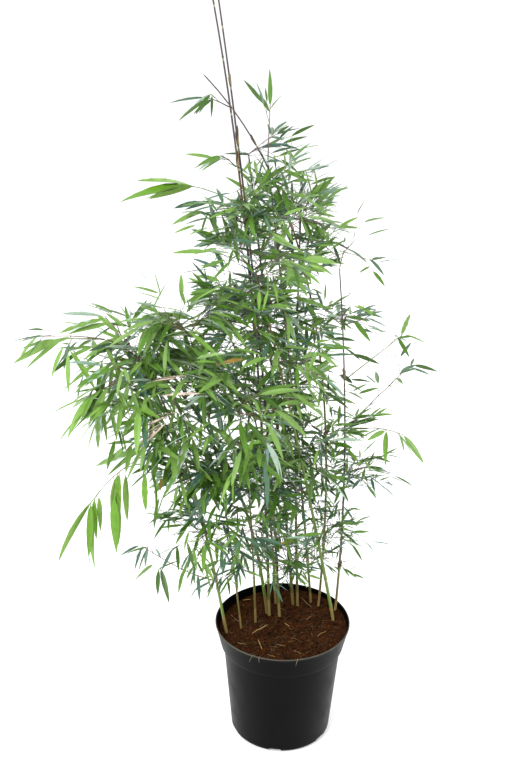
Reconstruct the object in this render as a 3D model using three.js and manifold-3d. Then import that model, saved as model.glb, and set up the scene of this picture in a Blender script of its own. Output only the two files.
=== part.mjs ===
// A potted bamboo, in millimetres, +Z up, with its origin under the middle of the pot.
// The clump has thirteen thin culms. Masses of foliage grow out of their joints: each is one
// stem that branches by a seeded rule, with its leaves fused on.

import * as THREE from 'three';
import { mergeVertices } from 'three/addons/utils/BufferGeometryUtils.js';
import Module from 'manifold-3d';

const wasm = await Module();
wasm.setup();

// Clearance between neighbouring pieces that touch in the real plant
const SEAT = 0.3;

// The pot: a moulded nursery pot with a flared collar
const POT_HEIGHT = 240;
const POT_RIM = 130;
const COLLAR_FOOT = 119.1;
const COLLAR_HEIGHT = 192.6;
const BODY_TOP = 113.7;
const BODY_BASE = 97.5;
const BASE_ROUND = 9;
const POT_WALL = 2;
const POT_FLOOR = 3;
const RIM_LIP = 3.4;
const POT_SIDES = 32;
const DRAIN_SLOTS = 6;
const DRAIN_TURN = 263;
const DRAIN_WIDTH = 28;
const DRAIN_HEIGHT = 9;

// The soil: its level at the middle, and how it rises to the right and falls to the back
const SOIL_LEVEL = 222;
const SOIL_RISE_X = 0.05;
const SOIL_RISE_Y = -0.06;

// Culms: five-sided, thinning to the tip, with a raised ring at each joint
const CULM_SIDES = 5;
const CULM_TAPER = 0.55;
const INTERNODE = 100;
const RING_SWELL = 1.22;
const RING_HALF = 2.2;

// Foliage: three-sided stems and twigs, and leaves of eight faces
const STEM_RADIUS = 1.3;
const STEM_TIP = 0.8;
const TWIG_RADIUS = 1;
const LEAF_GROWTH = 1.3;
const LEAF_WIDTH = 0.19;
const LEAF_THICKNESS = 0.03;
const LEAF_WIDEST = 0.27;
const LEAF_SINK = 0.5;
const LEAF_STEP = 0.16;
const LEAF_BEND = 14;
const TOP_LEAVES = 4;

// How a leaf stands to its twig, in degrees, and its length as a share of the usual one
const LEAF_SPREAD = [26, 60];
const LEAF_SWING = [-15, 15];
const LEAF_DIP = [-32, 32];
const LEAF_ROLL = [-55, 55];
const LEAF_LENGTH = [0.7, 1.25];
const STEEPEST = -84;

// Low masses have smaller leaves: their least share of the usual length, and the heights
// between which they grow to it
const LOW_SHARE = 0.6;
const LOW_HEIGHT = 400;
const FULL_HEIGHT = 620;

// How a twig stands to its stem, in degrees, and its length
const TWIG_SPREAD = [34, 94];
const TWIG_PITCH = [-46, 30];
const TWIG_LENGTH = [50, 100];

// A fused joint has no face slimmer than this. One that would is tried again with the piece
// rolled a little, and the piece is left out if that doesn't help.
const SLIMMEST_FACE = 0.002;
const NUDGES = [0, 11, -11, 23, -23];
const SEED = 1000;

// How the foliage of a full mass and of a sparse arm grows
const FULL = { knot: 28, twig: 1, wander: 40, bare: 0, rise: 30, droop: 50, leaves: 4 };
const ARM = { knot: 30, twig: 0.4, wander: 16, leaves: 2 };

// Each culm bends from its foot past a shoulder to its tip. Leaf is the length of its leaves
// and hang the angle they droop by. Masses are given by their share of the way up the culm,
// the way they face, from the right towards the back, and their reach.
const CULMS = {
  left_edge: {
    foot: [-108, -12], shoulder: [-165, -30, 600], tip: [-235, -80, 780],
    radius: 3.0, leaf: 64, hang: 24, masses: [[0.34, 250, 70], [0.5, 172, 64], [0.84, 196, 108]],
  },
  left_thin: {
    foot: [-80, 2], shoulder: [-112, -10, 560], tip: [-170, -60, 850],
    radius: 1.9, leaf: 56, hang: 18, masses: [[0.46, 300, 75], [0.76, 250, 80], [0.96, 70, 80]],
  },
  left_arch: {
    foot: [-29, 54], shoulder: [-80, 45, 676], tip: [-315, -20, 824],
    radius: 3.3, leaf: 62, hang: 24,
    masses: [[0.46, 220, 90], [0.66, 90, 95], [0.8, 245, 90], [0.9, 130, 85]],
  },
  tall_left: {
    foot: [-25, 46], shoulder: [-52, 45, 996], tip: [-147, 40, 1452],
    radius: 2.8, leaf: 46, hang: -4,
    masses: [[0.34, 190, 90], [0.5, 245, 70]],
  },
  tall_right: {
    foot: [-5, 40], shoulder: [-44, 42, 871], tip: [-133, 52, 1436],
    radius: 2.8, leaf: 46, hang: -4, masses: [[0.22, 270, 80], [0.5, 270, 80], [0.67, 266, 56]],
  },
  centre_dark: {
    foot: [23, 86], shoulder: [-15, 95, 640], tip: [-75, 115, 1120],
    radius: 3.2, leaf: 44, hang: -4, masses: [[0.3, 160, 70], [0.62, 130, 85], [0.92, 262, 80]],
  },
  centre_back: {
    foot: [32, 80], shoulder: [12, 120, 650], tip: [20, 130, 1070],
    radius: 2.8, leaf: 44, hang: -4, masses: [[0.38, 50, 80], [0.66, 20, 80], [0.88, 105, 66]],
  },
  mid_lean: {
    foot: [59, 86], shoulder: [22, 100, 620], tip: [-42, 60, 1120],
    radius: 2.4, leaf: 44, hang: -4, masses: [[0.56, 290, 75], [0.89, 300, 74]],
  },
  bowed: {
    foot: [73, 72], shoulder: [119, 75, 990], tip: [-150, 60, 1261],
    radius: 2.4, leaf: 44, hang: -4, masses: [[0.73, 250, 68]],
  },
  right_lean: {
    foot: [100, 20], shoulder: [25, 10, 620], tip: [-60, -50, 960],
    radius: 3.2, leaf: 52, hang: 18,
    masses: [[0.26, 300, 60], [0.48, 250, 85], [0.72, 300, 85], [0.94, 285, 75]],
  },
  right_edge: {
    foot: [105, 50], shoulder: [125, 58, 560], tip: [85, 40, 940],
    radius: 2.5, leaf: 44, hang: 4, masses: [[0.26, 240, 50], [0.44, 200, 60], [0.94, 70, 65]],
  },
  back_lean: {
    foot: [-12, 92], shoulder: [-30, 140, 600], tip: [-120, 170, 790],
    radius: 2.5, leaf: 50, hang: 8, masses: [[0.66, 110, 90], [0.94, 60, 100]],
  },
  front_lean: {
    foot: [-52, 22], shoulder: [-62, -20, 540], tip: [-85, -100, 730],
    radius: 2.3, leaf: 60, hang: 24, masses: [[0.46, 260, 70], [0.94, 250, 90]],
  },
};

// Sparse arms that stand out of the crown, bare for the first share of their reach
const ARMS = [
  { culm: 'tall_left', at: 0.67, turn: 190, rise: 45, reach: 34,
    droop: 30, leaf: 40, hang: 12, bare: 0.3 },
  { culm: 'bowed', at: 0.91, turn: 165, rise: 24, reach: 40, droop: 10, leaf: 48, hang: 46, bare: 0.3 },
  { culm: 'mid_lean', at: 1, turn: 80, rise: 82, reach: 92, droop: 0, leaf: 44, hang: -14, bare: 0.6 },
  { culm: 'centre_dark', at: 0.89, turn: 182, rise: 32, reach: 130,
    droop: 24, leaf: 96, hang: 8, bare: 0.95, fan: 0.3 },
  { culm: 'right_edge', at: 0.71, turn: 4, rise: 41, reach: 130,
    droop: 4, leaf: 40, hang: 8, bare: 0.55 },
  { culm: 'right_edge', at: 0.57, turn: 31, rise: 43, reach: 172,
    droop: 8, leaf: 42, hang: 20, bare: 0.35 },
  { culm: 'right_edge', at: 0.57, turn: 331, rise: 24, reach: 118,
    droop: 34, leaf: 60, hang: 28, bare: 0.6 },
  { culm: 'left_arch', at: 1, turn: 186, rise: 8, reach: 116, droop: 16, leaf: 60, hang: 20, bare: 0.3 },
  { culm: 'left_edge', at: 0.66, turn: 203, rise: -5, reach: 192,
    droop: 45, leaf: 100, hang: 66, bare: 0.15 },
  { culm: 'left_edge', at: 0.17, turn: 186, rise: 20, reach: 155,
    droop: -16, leaf: 90, hang: 55, bare: 0.25 },
];

const soilHeight = (x, y) => SOIL_LEVEL + SOIL_RISE_X * x + SOIL_RISE_Y * y;

// A repeatable stream of numbers from 0 to 1
function seeded(seed) {
  let state = seed >>> 0;
  return () => {
    state = (state + 0x6d2b79f5) >>> 0;
    let mixed = Math.imul(state ^ (state >>> 15), 1 | state);
    mixed = (mixed + Math.imul(mixed ^ (mixed >>> 7), 61 | mixed)) ^ mixed;
    return ((mixed ^ (mixed >>> 14)) >>> 0) / 4294967296;
  };
}

const within = (draw, [low, high]) => low + (high - low) * draw();

// The direction that faces turn degrees round from +X and pitch degrees up
function aim(turn, pitch) {
  const t = THREE.MathUtils.degToRad(turn);
  const p = THREE.MathUtils.degToRad(pitch);
  return new THREE.Vector3(Math.cos(t) * Math.cos(p), Math.sin(t) * Math.cos(p), Math.sin(p));
}

// Keeps only positions, shares the corners and drops the faces that a pole leaves empty
function bare(geometry) {
  geometry.deleteAttribute('normal');
  geometry.deleteAttribute('uv');
  const merged = mergeVertices(geometry, 1e-4);
  const index = merged.getIndex().array;
  const kept = [];
  for (let i = 0; i < index.length; i += 3) {
    const [a, b, c] = [index[i], index[i + 1], index[i + 2]];
    if (a !== b && b !== c && c !== a) kept.push(a, b, c);
  }
  merged.setIndex(kept);
  return merged;
}

function solidOf(geometry) {
  const clean = bare(geometry);
  return new wasm.Manifold(new wasm.Mesh({
    numProp: 3,
    vertProperties: new Float32Array(clean.getAttribute('position').array),
    triVerts: new Uint32Array(clean.getIndex().array),
  }));
}

function geometryOf(solid) {
  const { vertProperties, triVerts } = solid.getMesh();
  const geometry = new THREE.BufferGeometry();
  geometry.setAttribute('position', new THREE.BufferAttribute(vertProperties, 3));
  geometry.setIndex(new THREE.BufferAttribute(triVerts, 1));
  return geometry;
}

// A turned solid about +Z, from a profile of [radius, height] that starts and ends on the axis
function turned(profile, sides) {
  const points = profile.map(([radius, height]) => new THREE.Vector2(radius, height));
  return new THREE.LatheGeometry(points, sides).rotateX(Math.PI / 2);
}

// A turned solid whose rings are moved onto a path. A ring's height in the profile is its
// number on the path: centres[i] is where it goes, and across is a direction it lies along.
function limb(radii, centres, sides, across) {
  const last = centres.length - 1;
  const geometry = turned([[0, 0], ...radii.map((radius, i) => [radius, i]), [0, last]], sides);
  const position = geometry.getAttribute('position');
  for (let i = 0; i < position.count; i++) {
    const ring = Math.round(position.getZ(i));
    const before = centres[Math.max(0, ring - 1)];
    const after = centres[Math.min(last, ring + 1)];
    const along = after.clone().sub(before).normalize();
    const first = across.clone().addScaledVector(along, -across.dot(along)).normalize();
    const second = along.clone().cross(first);
    const point = centres[ring].clone()
      .addScaledVector(first, position.getX(i))
      .addScaledVector(second, position.getY(i));
    position.setXYZ(i, point.x, point.y, point.z);
  }
  return geometry;
}

// Pot

const SLOPE = (BODY_TOP - BODY_BASE) / COLLAR_HEIGHT;
const innerWall = [
  [BODY_BASE - BASE_ROUND, POT_FLOOR],
  [BODY_BASE + SLOPE * BASE_ROUND - POT_WALL, BASE_ROUND],
  [BODY_TOP - POT_WALL, COLLAR_HEIGHT + POT_WALL],
  [COLLAR_FOOT - POT_WALL, COLLAR_HEIGHT + POT_WALL],
  [POT_RIM - RIM_LIP, POT_HEIGHT - RIM_LIP],
];

function potGeometry() {
  const round = [0, 1, 2, 3].map((step) => {
    const angle = (step / 3) * Math.PI / 2;
    return [
      BODY_BASE - BASE_ROUND + BASE_ROUND * Math.sin(angle),
      BASE_ROUND - BASE_ROUND * Math.cos(angle),
    ];
  });
  const shell = solidOf(turned([
    [0, 0], ...round,
    [BODY_TOP, COLLAR_HEIGHT], [COLLAR_FOOT, COLLAR_HEIGHT],
    [POT_RIM - 1, POT_HEIGHT - RIM_LIP], [POT_RIM, POT_HEIGHT - RIM_LIP / 2], [POT_RIM - 1, POT_HEIGHT],
    [POT_RIM - RIM_LIP, POT_HEIGHT],
    ...innerWall.slice().reverse(), [0, POT_FLOOR],
  ], POT_SIDES));
  let pot = shell;
  for (let i = 0; i < DRAIN_SLOTS; i++) {
    const slot = new THREE.BoxGeometry(3 * BASE_ROUND, DRAIN_WIDTH, DRAIN_HEIGHT);
    slot.translate(BODY_BASE, 0, DRAIN_HEIGHT / 2 - 1);
    slot.rotateZ(THREE.MathUtils.degToRad(DRAIN_TURN + (360 * i) / DRAIN_SLOTS));
    pot = pot.subtract(solidOf(slot));
  }
  return { solid: pot, geometry: geometryOf(pot) };
}

// Soil, clear of the pot all round and cut off along its sloping top

function soilGeometry() {
  const side = innerWall.map(([radius, height]) => [radius - SEAT * 1.5, height + SEAT]);
  const filling = solidOf(turned([[0, POT_FLOOR + SEAT], ...side, [0, POT_HEIGHT]], POT_SIDES));
  const up = new THREE.Vector3(-SOIL_RISE_X, -SOIL_RISE_Y, 1).normalize();
  const air = new THREE.BoxGeometry(4 * POT_RIM, 4 * POT_RIM, POT_HEIGHT);
  air.translate(0, 0, POT_HEIGHT / 2);
  air.applyQuaternion(new THREE.Quaternion().setFromUnitVectors(new THREE.Vector3(0, 0, 1), up));
  air.translate(0, 0, SOIL_LEVEL);
  const soil = filling.subtract(solidOf(air));
  return { solid: soil, geometry: geometryOf(soil) };
}

// Culms

function culmCurve({ foot: [x, y], shoulder, tip }) {
  return new THREE.QuadraticBezierCurve3(
    new THREE.Vector3(x, y, soilHeight(x, y)),
    new THREE.Vector3(...shoulder),
    new THREE.Vector3(...tip),
  );
}

const culmRadius = (culm, share) => culm.radius * (1 - CULM_TAPER * share);

// The number of joints, spaced evenly in share along the culm
const jointCount = (culm) => Math.round(culmCurve(culm).getLength() / INTERNODE);

// A mass grows out of the joint nearest to where it is wanted
const nearestJoint = (culm, at) => Math.round(at * jointCount(culm)) / jointCount(culm);

function culmGeometry(culm) {
  const curve = culmCurve(culm);
  const joints = jointCount(culm);
  const half = RING_HALF / curve.getLength();
  const shares = [0];
  const radii = [culm.radius];
  for (let joint = 1; joint < joints; joint++) {
    const share = joint / joints;
    const radius = culmRadius(culm, share);
    shares.push(share - half, share, share + half);
    radii.push(radius, radius * RING_SWELL, radius);
  }
  shares.push(1);
  radii.push(culmRadius(culm, 1));
  const centres = shares.map((share) => curve.getPoint(share));
  const geometry = limb(radii, centres, CULM_SIDES, new THREE.Vector3(1, 0, 0));
  // The foot is cut along the soil
  const position = geometry.getAttribute('position');
  for (let i = 0; i < position.count; i++) {
    if (position.getZ(i) < centres[0].z + INTERNODE / 4) {
      position.setZ(i, soilHeight(position.getX(i), position.getY(i)) + SEAT);
    }
  }
  return geometry;
}

// Foliage

function leafShare(height) {
  const share = THREE.MathUtils.mapLinear(height, LOW_HEIGHT, FULL_HEIGHT, LOW_SHARE, 1);
  return THREE.MathUtils.clamp(share, LOW_SHARE, 1);
}

// Leaves round the last part of a twig, the first at its tip
function spray(draw, start, end, turn, pitch, count, leaf, { hang, fan = 1 }) {
  const leaves = [];
  for (let i = 0; i < count; i++) {
    const side = i === 0 ? 0 : (i % 2 ? 1 : -1);
    const swing = (side * within(draw, LEAF_SPREAD) + within(draw, LEAF_SWING)) * fan;
    const droop = Math.max(STEEPEST, pitch / 2 + within(draw, LEAF_DIP) * fan - hang);
    const length = leaf * within(draw, LEAF_LENGTH);
    const roll = within(draw, LEAF_ROLL);
    const root = end.clone().lerp(start, LEAF_STEP * i);
    leaves.push({ root, turn: turn + swing, pitch: droop, length, roll });
  }
  return leaves;
}

// The stem, twigs and leaves of one mass. Every number is drawn before anything is left out.
function grow(mass, order) {
  const draw = seeded(SEED + order);
  const culm = CULMS[mass.culm];
  const share = nearestJoint(culm, mass.at);
  const gap = culmRadius(culm, share) * RING_SWELL + SEAT + STEM_RADIUS;
  const joints = Math.max(2, Math.round(mass.reach / mass.knot));
  const step = mass.reach / joints;
  const points = [culmCurve(culm).getPoint(share).addScaledVector(aim(mass.turn, 0), gap)];
  const ways = [];
  let turn = mass.turn;
  for (let i = 0; i < joints; i++) {
    const pitch = mass.rise - mass.droop * (i / joints);
    turn += (draw() - 0.5) * mass.wander;
    ways.push([turn, pitch]);
    points.push(points[i].clone().addScaledVector(aim(turn, pitch), step));
  }
  const leaf = mass.leaf * LEAF_GROWTH * leafShare(points[0].z);
  const twigs = [];
  for (let i = 1; i < joints; i++) {
    const side = (i + order) % 2 ? 1 : -1;
    const way = [ways[i][0] + side * within(draw, TWIG_SPREAD), ways[i][1] + within(draw, TWIG_PITCH)];
    const length = mass.twig * within(draw, TWIG_LENGTH);
    const end = points[i].clone().addScaledVector(aim(...way), length);
    const leaves = spray(draw, points[i], end, ...way, mass.leaves, leaf, mass);
    if (i / joints >= mass.bare) twigs.push({ points: [points[i], end], turn: way[0], leaves });
  }
  const [below, tip] = points.slice(-2);
  const top = spray(draw, below, tip, ...ways.at(-1), TOP_LEAVES, leaf, mass);
  return { points, twigs, top, turn: mass.turn };
}

const across = (turn) => aim(turn + 90, 0);

function stemSolid(points, turn) {
  const last = points.length - 1;
  const radii = points.map((_, i) => STEM_RADIUS + (STEM_TIP - STEM_RADIUS) * (i / last));
  return solidOf(limb(radii, points, 3, across(turn)));
}

function twigSolid(twig, nudge) {
  const side = across(twig.turn).applyAxisAngle(
    twig.points[1].clone().sub(twig.points[0]).normalize(),
    THREE.MathUtils.degToRad(nudge),
  );
  return solidOf(limb([TWIG_RADIUS, TWIG_RADIUS], twig.points, 3, side));
}

// A blade of eight faces, widest near its root, which lies inside the twig
function leafSolid({ root, turn, pitch, length, roll }, nudge) {
  const blade = new THREE.OctahedronGeometry(1);
  const position = blade.getAttribute('position');
  const whole = length + LEAF_SINK;
  for (let i = 0; i < position.count; i++) {
    const end = Math.round(position.getX(i));
    const along = end > 0 ? length : (end < 0 ? -LEAF_SINK : LEAF_WIDEST * whole - LEAF_SINK);
    position.setX(i, along);
    position.setY(i, position.getY(i) * length * LEAF_WIDTH / 2);
    position.setZ(i, position.getZ(i) * length * LEAF_THICKNESS / 2);
  }
  const forward = aim(turn, pitch - LEAF_BEND / 2);
  const flat = across(turn).applyAxisAngle(forward, THREE.MathUtils.degToRad(roll + nudge));
  const face = forward.clone().cross(flat);
  blade.applyMatrix4(new THREE.Matrix4().makeBasis(forward, flat, face).setPosition(root));
  return solidOf(blade);
}

// What has been placed so far, for finding what a new piece would touch
const placed = [];

function boxesMeet(a, b) {
  return [0, 1, 2].every((k) => a.min[k] - SEAT < b.max[k] && b.min[k] - SEAT < a.max[k]);
}

function touches(solid, carrier) {
  const box = solid.boundingBox();
  return placed.some((other) => other.solid !== carrier
    && boxesMeet(box, other.box)
    && solid.minGap(other.solid, 2 * SEAT) < SEAT);
}

function place(solid) {
  placed.push({ solid, box: solid.boundingBox() });
  return solid;
}

// The least height of any face of a solid
function slimmestFace(solid) {
  const { vertProperties, triVerts } = solid.getMesh();
  const corner = (i) => new THREE.Vector3().fromArray(vertProperties, 3 * triVerts[i]);
  let least = Infinity;
  for (let i = 0; i < triVerts.length; i += 3) {
    const [a, b, c] = [corner(i), corner(i + 1), corner(i + 2)];
    const longest = Math.max(a.distanceTo(b), b.distanceTo(c), c.distanceTo(a));
    least = Math.min(least, b.sub(a).cross(c.sub(a)).length() / longest);
  }
  return least;
}

// Slides the root end of a stem along until it is seated on its culm
function seatedStem(growth, culmSolid) {
  const points = growth.points.slice();
  const out = aim(growth.turn, 0);
  for (let i = 0; i < 3; i++) {
    const gap = stemSolid(points, growth.turn).minGap(culmSolid, 10);
    points[0] = points[0].clone().addScaledVector(out, SEAT - gap);
  }
  return stemSolid(points, growth.turn);
}

// The assembly

const plant = new THREE.Group();

function add(name, geometry, color, roughness) {
  const mesh = new THREE.Mesh(geometry, new THREE.MeshStandardMaterial({ color, roughness, metalness: 0 }));
  mesh.name = name;
  plant.add(mesh);
}

const pot = potGeometry();
const soil = soilGeometry();
place(pot.solid);
place(soil.solid);
add('pot', pot.geometry, 0x17181a, 0.45);
add('soil', soil.geometry, 0x5a3320, 0.95);

const culmSolids = {};
for (const [name, culm] of Object.entries(CULMS)) {
  const solid = solidOf(culmGeometry(culm));
  culmSolids[name] = place(solid);
  add(`culm_${name}`, geometryOf(solid), 0x7d6c45, 0.5);
}

const masses = [];
for (const [name, culm] of Object.entries(CULMS)) {
  culm.masses.forEach(([at, turn, reach], i) => masses.push({
    ...FULL, name: `foliage_${name}_${i + 1}`, culm: name,
    at, turn, reach, leaf: culm.leaf, hang: culm.hang,
  }));
}
ARMS.forEach((arm, i) => masses.push({ ...ARM, ...arm, name: `foliage_arm_${i + 1}` }));

const growths = masses.map(grow);
const stems = growths.map((growth, i) => place(seatedStem(growth, culmSolids[masses[i].culm])));
const bodies = stems.slice();

// Fuses a piece onto mass i, unless it would touch anything but what carries it
function fuse(i, carrier, shape) {
  for (const nudge of NUDGES) {
    const piece = shape(nudge);
    if (touches(piece, carrier)) return null;
    const joined = bodies[i].add(piece);
    if (slimmestFace(joined) >= SLIMMEST_FACE) {
      bodies[i] = joined;
      return place(piece);
    }
  }
  return null;
}

growths.forEach((growth, i) => {
  for (const twig of growth.twigs) twig.solid = fuse(i, stems[i], (nudge) => twigSolid(twig, nudge));
});
growths.forEach((growth, i) => {
  for (const leaf of growth.top) fuse(i, stems[i], (nudge) => leafSolid(leaf, nudge));
  for (const twig of growth.twigs.filter(({ solid }) => solid)) {
    for (const leaf of twig.leaves) fuse(i, twig.solid, (nudge) => leafSolid(leaf, nudge));
  }
});
bodies.forEach((body, i) => add(masses[i].name, geometryOf(body), 0x4f8f38, 0.55));

export default plant;
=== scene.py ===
import math
from functools import lru_cache

import bpy
import numpy as np
from bpy.props import FloatProperty, FloatVectorProperty, IntProperty, PointerProperty
from bpy.types import Operator, Panel, PropertyGroup
from mathutils import Matrix, Vector, noise


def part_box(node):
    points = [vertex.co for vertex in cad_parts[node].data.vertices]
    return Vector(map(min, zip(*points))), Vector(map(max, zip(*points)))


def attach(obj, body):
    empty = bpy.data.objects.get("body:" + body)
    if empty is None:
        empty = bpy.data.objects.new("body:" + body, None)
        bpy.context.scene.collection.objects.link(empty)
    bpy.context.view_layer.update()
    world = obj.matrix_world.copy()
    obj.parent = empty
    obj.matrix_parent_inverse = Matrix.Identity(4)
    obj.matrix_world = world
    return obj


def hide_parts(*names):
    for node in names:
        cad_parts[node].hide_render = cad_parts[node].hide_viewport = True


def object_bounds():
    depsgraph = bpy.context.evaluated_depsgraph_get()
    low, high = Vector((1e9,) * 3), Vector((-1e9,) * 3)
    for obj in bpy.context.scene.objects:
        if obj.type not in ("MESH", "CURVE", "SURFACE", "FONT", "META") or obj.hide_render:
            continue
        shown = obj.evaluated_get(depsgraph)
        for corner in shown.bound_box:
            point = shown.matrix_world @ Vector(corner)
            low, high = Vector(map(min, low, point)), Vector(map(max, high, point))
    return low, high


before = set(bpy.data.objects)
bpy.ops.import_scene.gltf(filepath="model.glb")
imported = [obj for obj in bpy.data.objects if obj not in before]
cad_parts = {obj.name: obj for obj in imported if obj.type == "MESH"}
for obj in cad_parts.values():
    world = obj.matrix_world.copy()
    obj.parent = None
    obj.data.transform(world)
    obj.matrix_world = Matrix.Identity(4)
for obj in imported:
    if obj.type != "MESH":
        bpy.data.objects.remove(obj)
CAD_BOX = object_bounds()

bl_info = {
    "name": "Potted Bamboo",
    "version": (1, 0, 0),
    "blender": (4, 5, 0),
    "location": "View3D > Sidebar > Plants",
    "description": "A clump of slender bamboo in a round nursery pot, with its studio stage",
    "category": "Add Mesh",
}

MM = 0.001
UP = np.array([0.0, 0.0, 1.0])

# Clearance between neighbouring pieces, in millimetres as all that follows
SEAT = 0.3

# The pot
POT_HEIGHT = 240
POT_RIM = 130
COLLAR_FOOT = 119.1
COLLAR_HEIGHT = 192.6
BODY_TOP = 113.7
BODY_BASE = 97.5
BASE_ROUND = 9
POT_WALL = 2
POT_FLOOR = 3
RIM_LIP = 3.4
DRAIN_SLOTS = 6
DRAIN_TURN = 263
DRAIN_WIDTH = 28
DRAIN_HEIGHT = 9
DRAIN_DEPTH = 13.5
DRAIN_NARROWING = 3

# The soil: its level at the middle, and how it rises to the right and falls to the back
SOIL_LEVEL = 222
SOIL_RISE_X = 0.05
SOIL_RISE_Y = -0.06

# How high the soil is heaped against the back of the pot, and between which radii it rises
BANK_HEIGHT = 14
BANK_RADII = (92, 119)

# Culms
CULM_TAPER = 0.55
INTERNODE = 100
RING_SWELL = 1.22
LENGTH_STEPS = 200

# Foliage
STEM_RADIUS = 1.3
LEAF_STEP = 0.16
TOP_LEAVES = 4
LEAF_SPREAD = (26, 60)
LEAF_SWING = (-15, 15)
LEAF_DIP = (-32, 32)
LEAF_ROLL = (-55, 55)
LEAF_LENGTH = (0.7, 1.25)
LEAF_GROWTH = 1.15
STEEPEST = -84
LOW_SHARE = 0.6
LOW_HEIGHT = 400
FULL_HEIGHT = 620
TWIG_SPREAD = (34, 94)
TWIG_PITCH = (-46, 30)
TWIG_LENGTH = (50, 100)
SEED = 1000

# How the foliage of a full mass and of a sparse arm grows
FULL = dict(
    knot=28, twig=1, wander=40, bare=0, rise=30, droop=50, leaves=4, fan=1, arm=False, fine=2)
ARM = dict(knot=30, twig=0.4, wander=16, leaves=2, fan=1, arm=True, fine=1)

# Small tufts at joints that carry no mass: which joints have one and how far it reaches.
# Leaves that grow below a height are in the shade, and get its darker tones as painted shade.
TUFT = dict(FULL, knot=30, twig=0.8, wander=50, rise=38, droop=44, fine=1)
TUFT_CHANCE = 0.85
TUFT_REACH = (36, 62)
TUFT_HEIGHTS = (345, 1120)
SHADE_BELOW = 560
TUFT_SEED = 7000

# More tufts, each on a culm's joint, facing one way, with its reach
PLACED_TUFTS = (
    ("centre_dark", 9, 300, 34), ("back_lean", 5, 200, 60), ("back_lean", 5, 120, 56),
    ("left_arch", 1, 250, 42), ("centre_dark", 1, 60, 48), ("tall_right", 1, 300, 40),
    ("mid_lean", 1, 20, 48), ("centre_back", 1, 150, 48), ("right_edge", 3, 20, 50),
    ("tall_left", 7, 240, 56), ("left_arch", 6, 245, 50), ("left_edge", 4, 150, 54),
    ("bowed", 3, 330, 48), ("front_lean", 1, 230, 40), ("left_thin", 3, 200, 52),
    ("tall_left", 5, 250, 40), ("bowed", 2, 330, 40), ("left_thin", 6, 150, 44),
    ("left_thin", 6, 250, 50), ("left_thin", 5, 120, 48), ("left_edge", 2, 180, 42),
    ("left_edge", 4, 230, 58), ("centre_dark", 1, 250, 40), ("right_edge", 3, 300, 42),
    ("mid_lean", 1, 220, 38),
)

# Openings in the crown, each with its middle and radius, where no leaf grows
OPENINGS = (
    ((-118, 25, 1085), 40), ((-118, 95, 1062), 30), ((-196, 33, 878), 34), ((-190, 225, 806), 34),
    ((-251, -4, 534), 30), ((-266, -115, 712), 22), ((85, 36, 1040), 24), ((94, 61, 712), 28),
    ((-271, -95, 697), 20), ((-342, -60, 749), 20), ((-317, -70, 724), 16),
)

# Sprays lose leaves towards the crown's edge: points deep in it, how far from the nearest of them
# the loss starts and is full, and what share of the leaves behind a spray's first one is left then
HEARTS = (
    (-170, -30, 790), (-90, 0, 760), (-110, 0, 860), (-120, -40, 690), (-110, -20, 580),
    (-100, -10, 470), (0, 30, 400), (80, 60, 430), (0, 60, 520), (-20, 60, 640), (-10, 60, 800),
    (-20, 60, 960), (-30, 60, 1080),
)
EDGE = (70, 160)
EDGE_SHARE = 0.3
EDGE_SEED = 8000

# The finer growth between the first twigs: where side twigs leave a length of stem, how they
# stand to it in degrees, how long they are, how many leaves they have and how large these are as
# a share of the mass's, and the same for the finest twigs on each twig
SIDE_TWIGS = (0.2, 0.5, 0.8)
SIDE_SPREAD = (30, 105)
SIDE_PITCH = (-40, 40)
SIDE_LENGTH = (34, 78)
SIDE_LEAVES = 3
SIDE_SHARE = 0.95
FINE_START = (0.2, 0.8)
FINE_SPREAD = (28, 78)
FINE_PITCH = (-30, 30)
FINE_LENGTH = (18, 48)
FINE_LEAVES = 4
FINE_SHARE = 0.82
FINE_SEED = 5000

# A sparse arm's finest twigs: their leaves, and their length as a share of the usual one
ARM_FINE_LEAVES = 1
ARM_FINE_LENGTH = 0.5

# How far a twig bows up, as a share of its length
TWIG_BOW = 0.04
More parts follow.
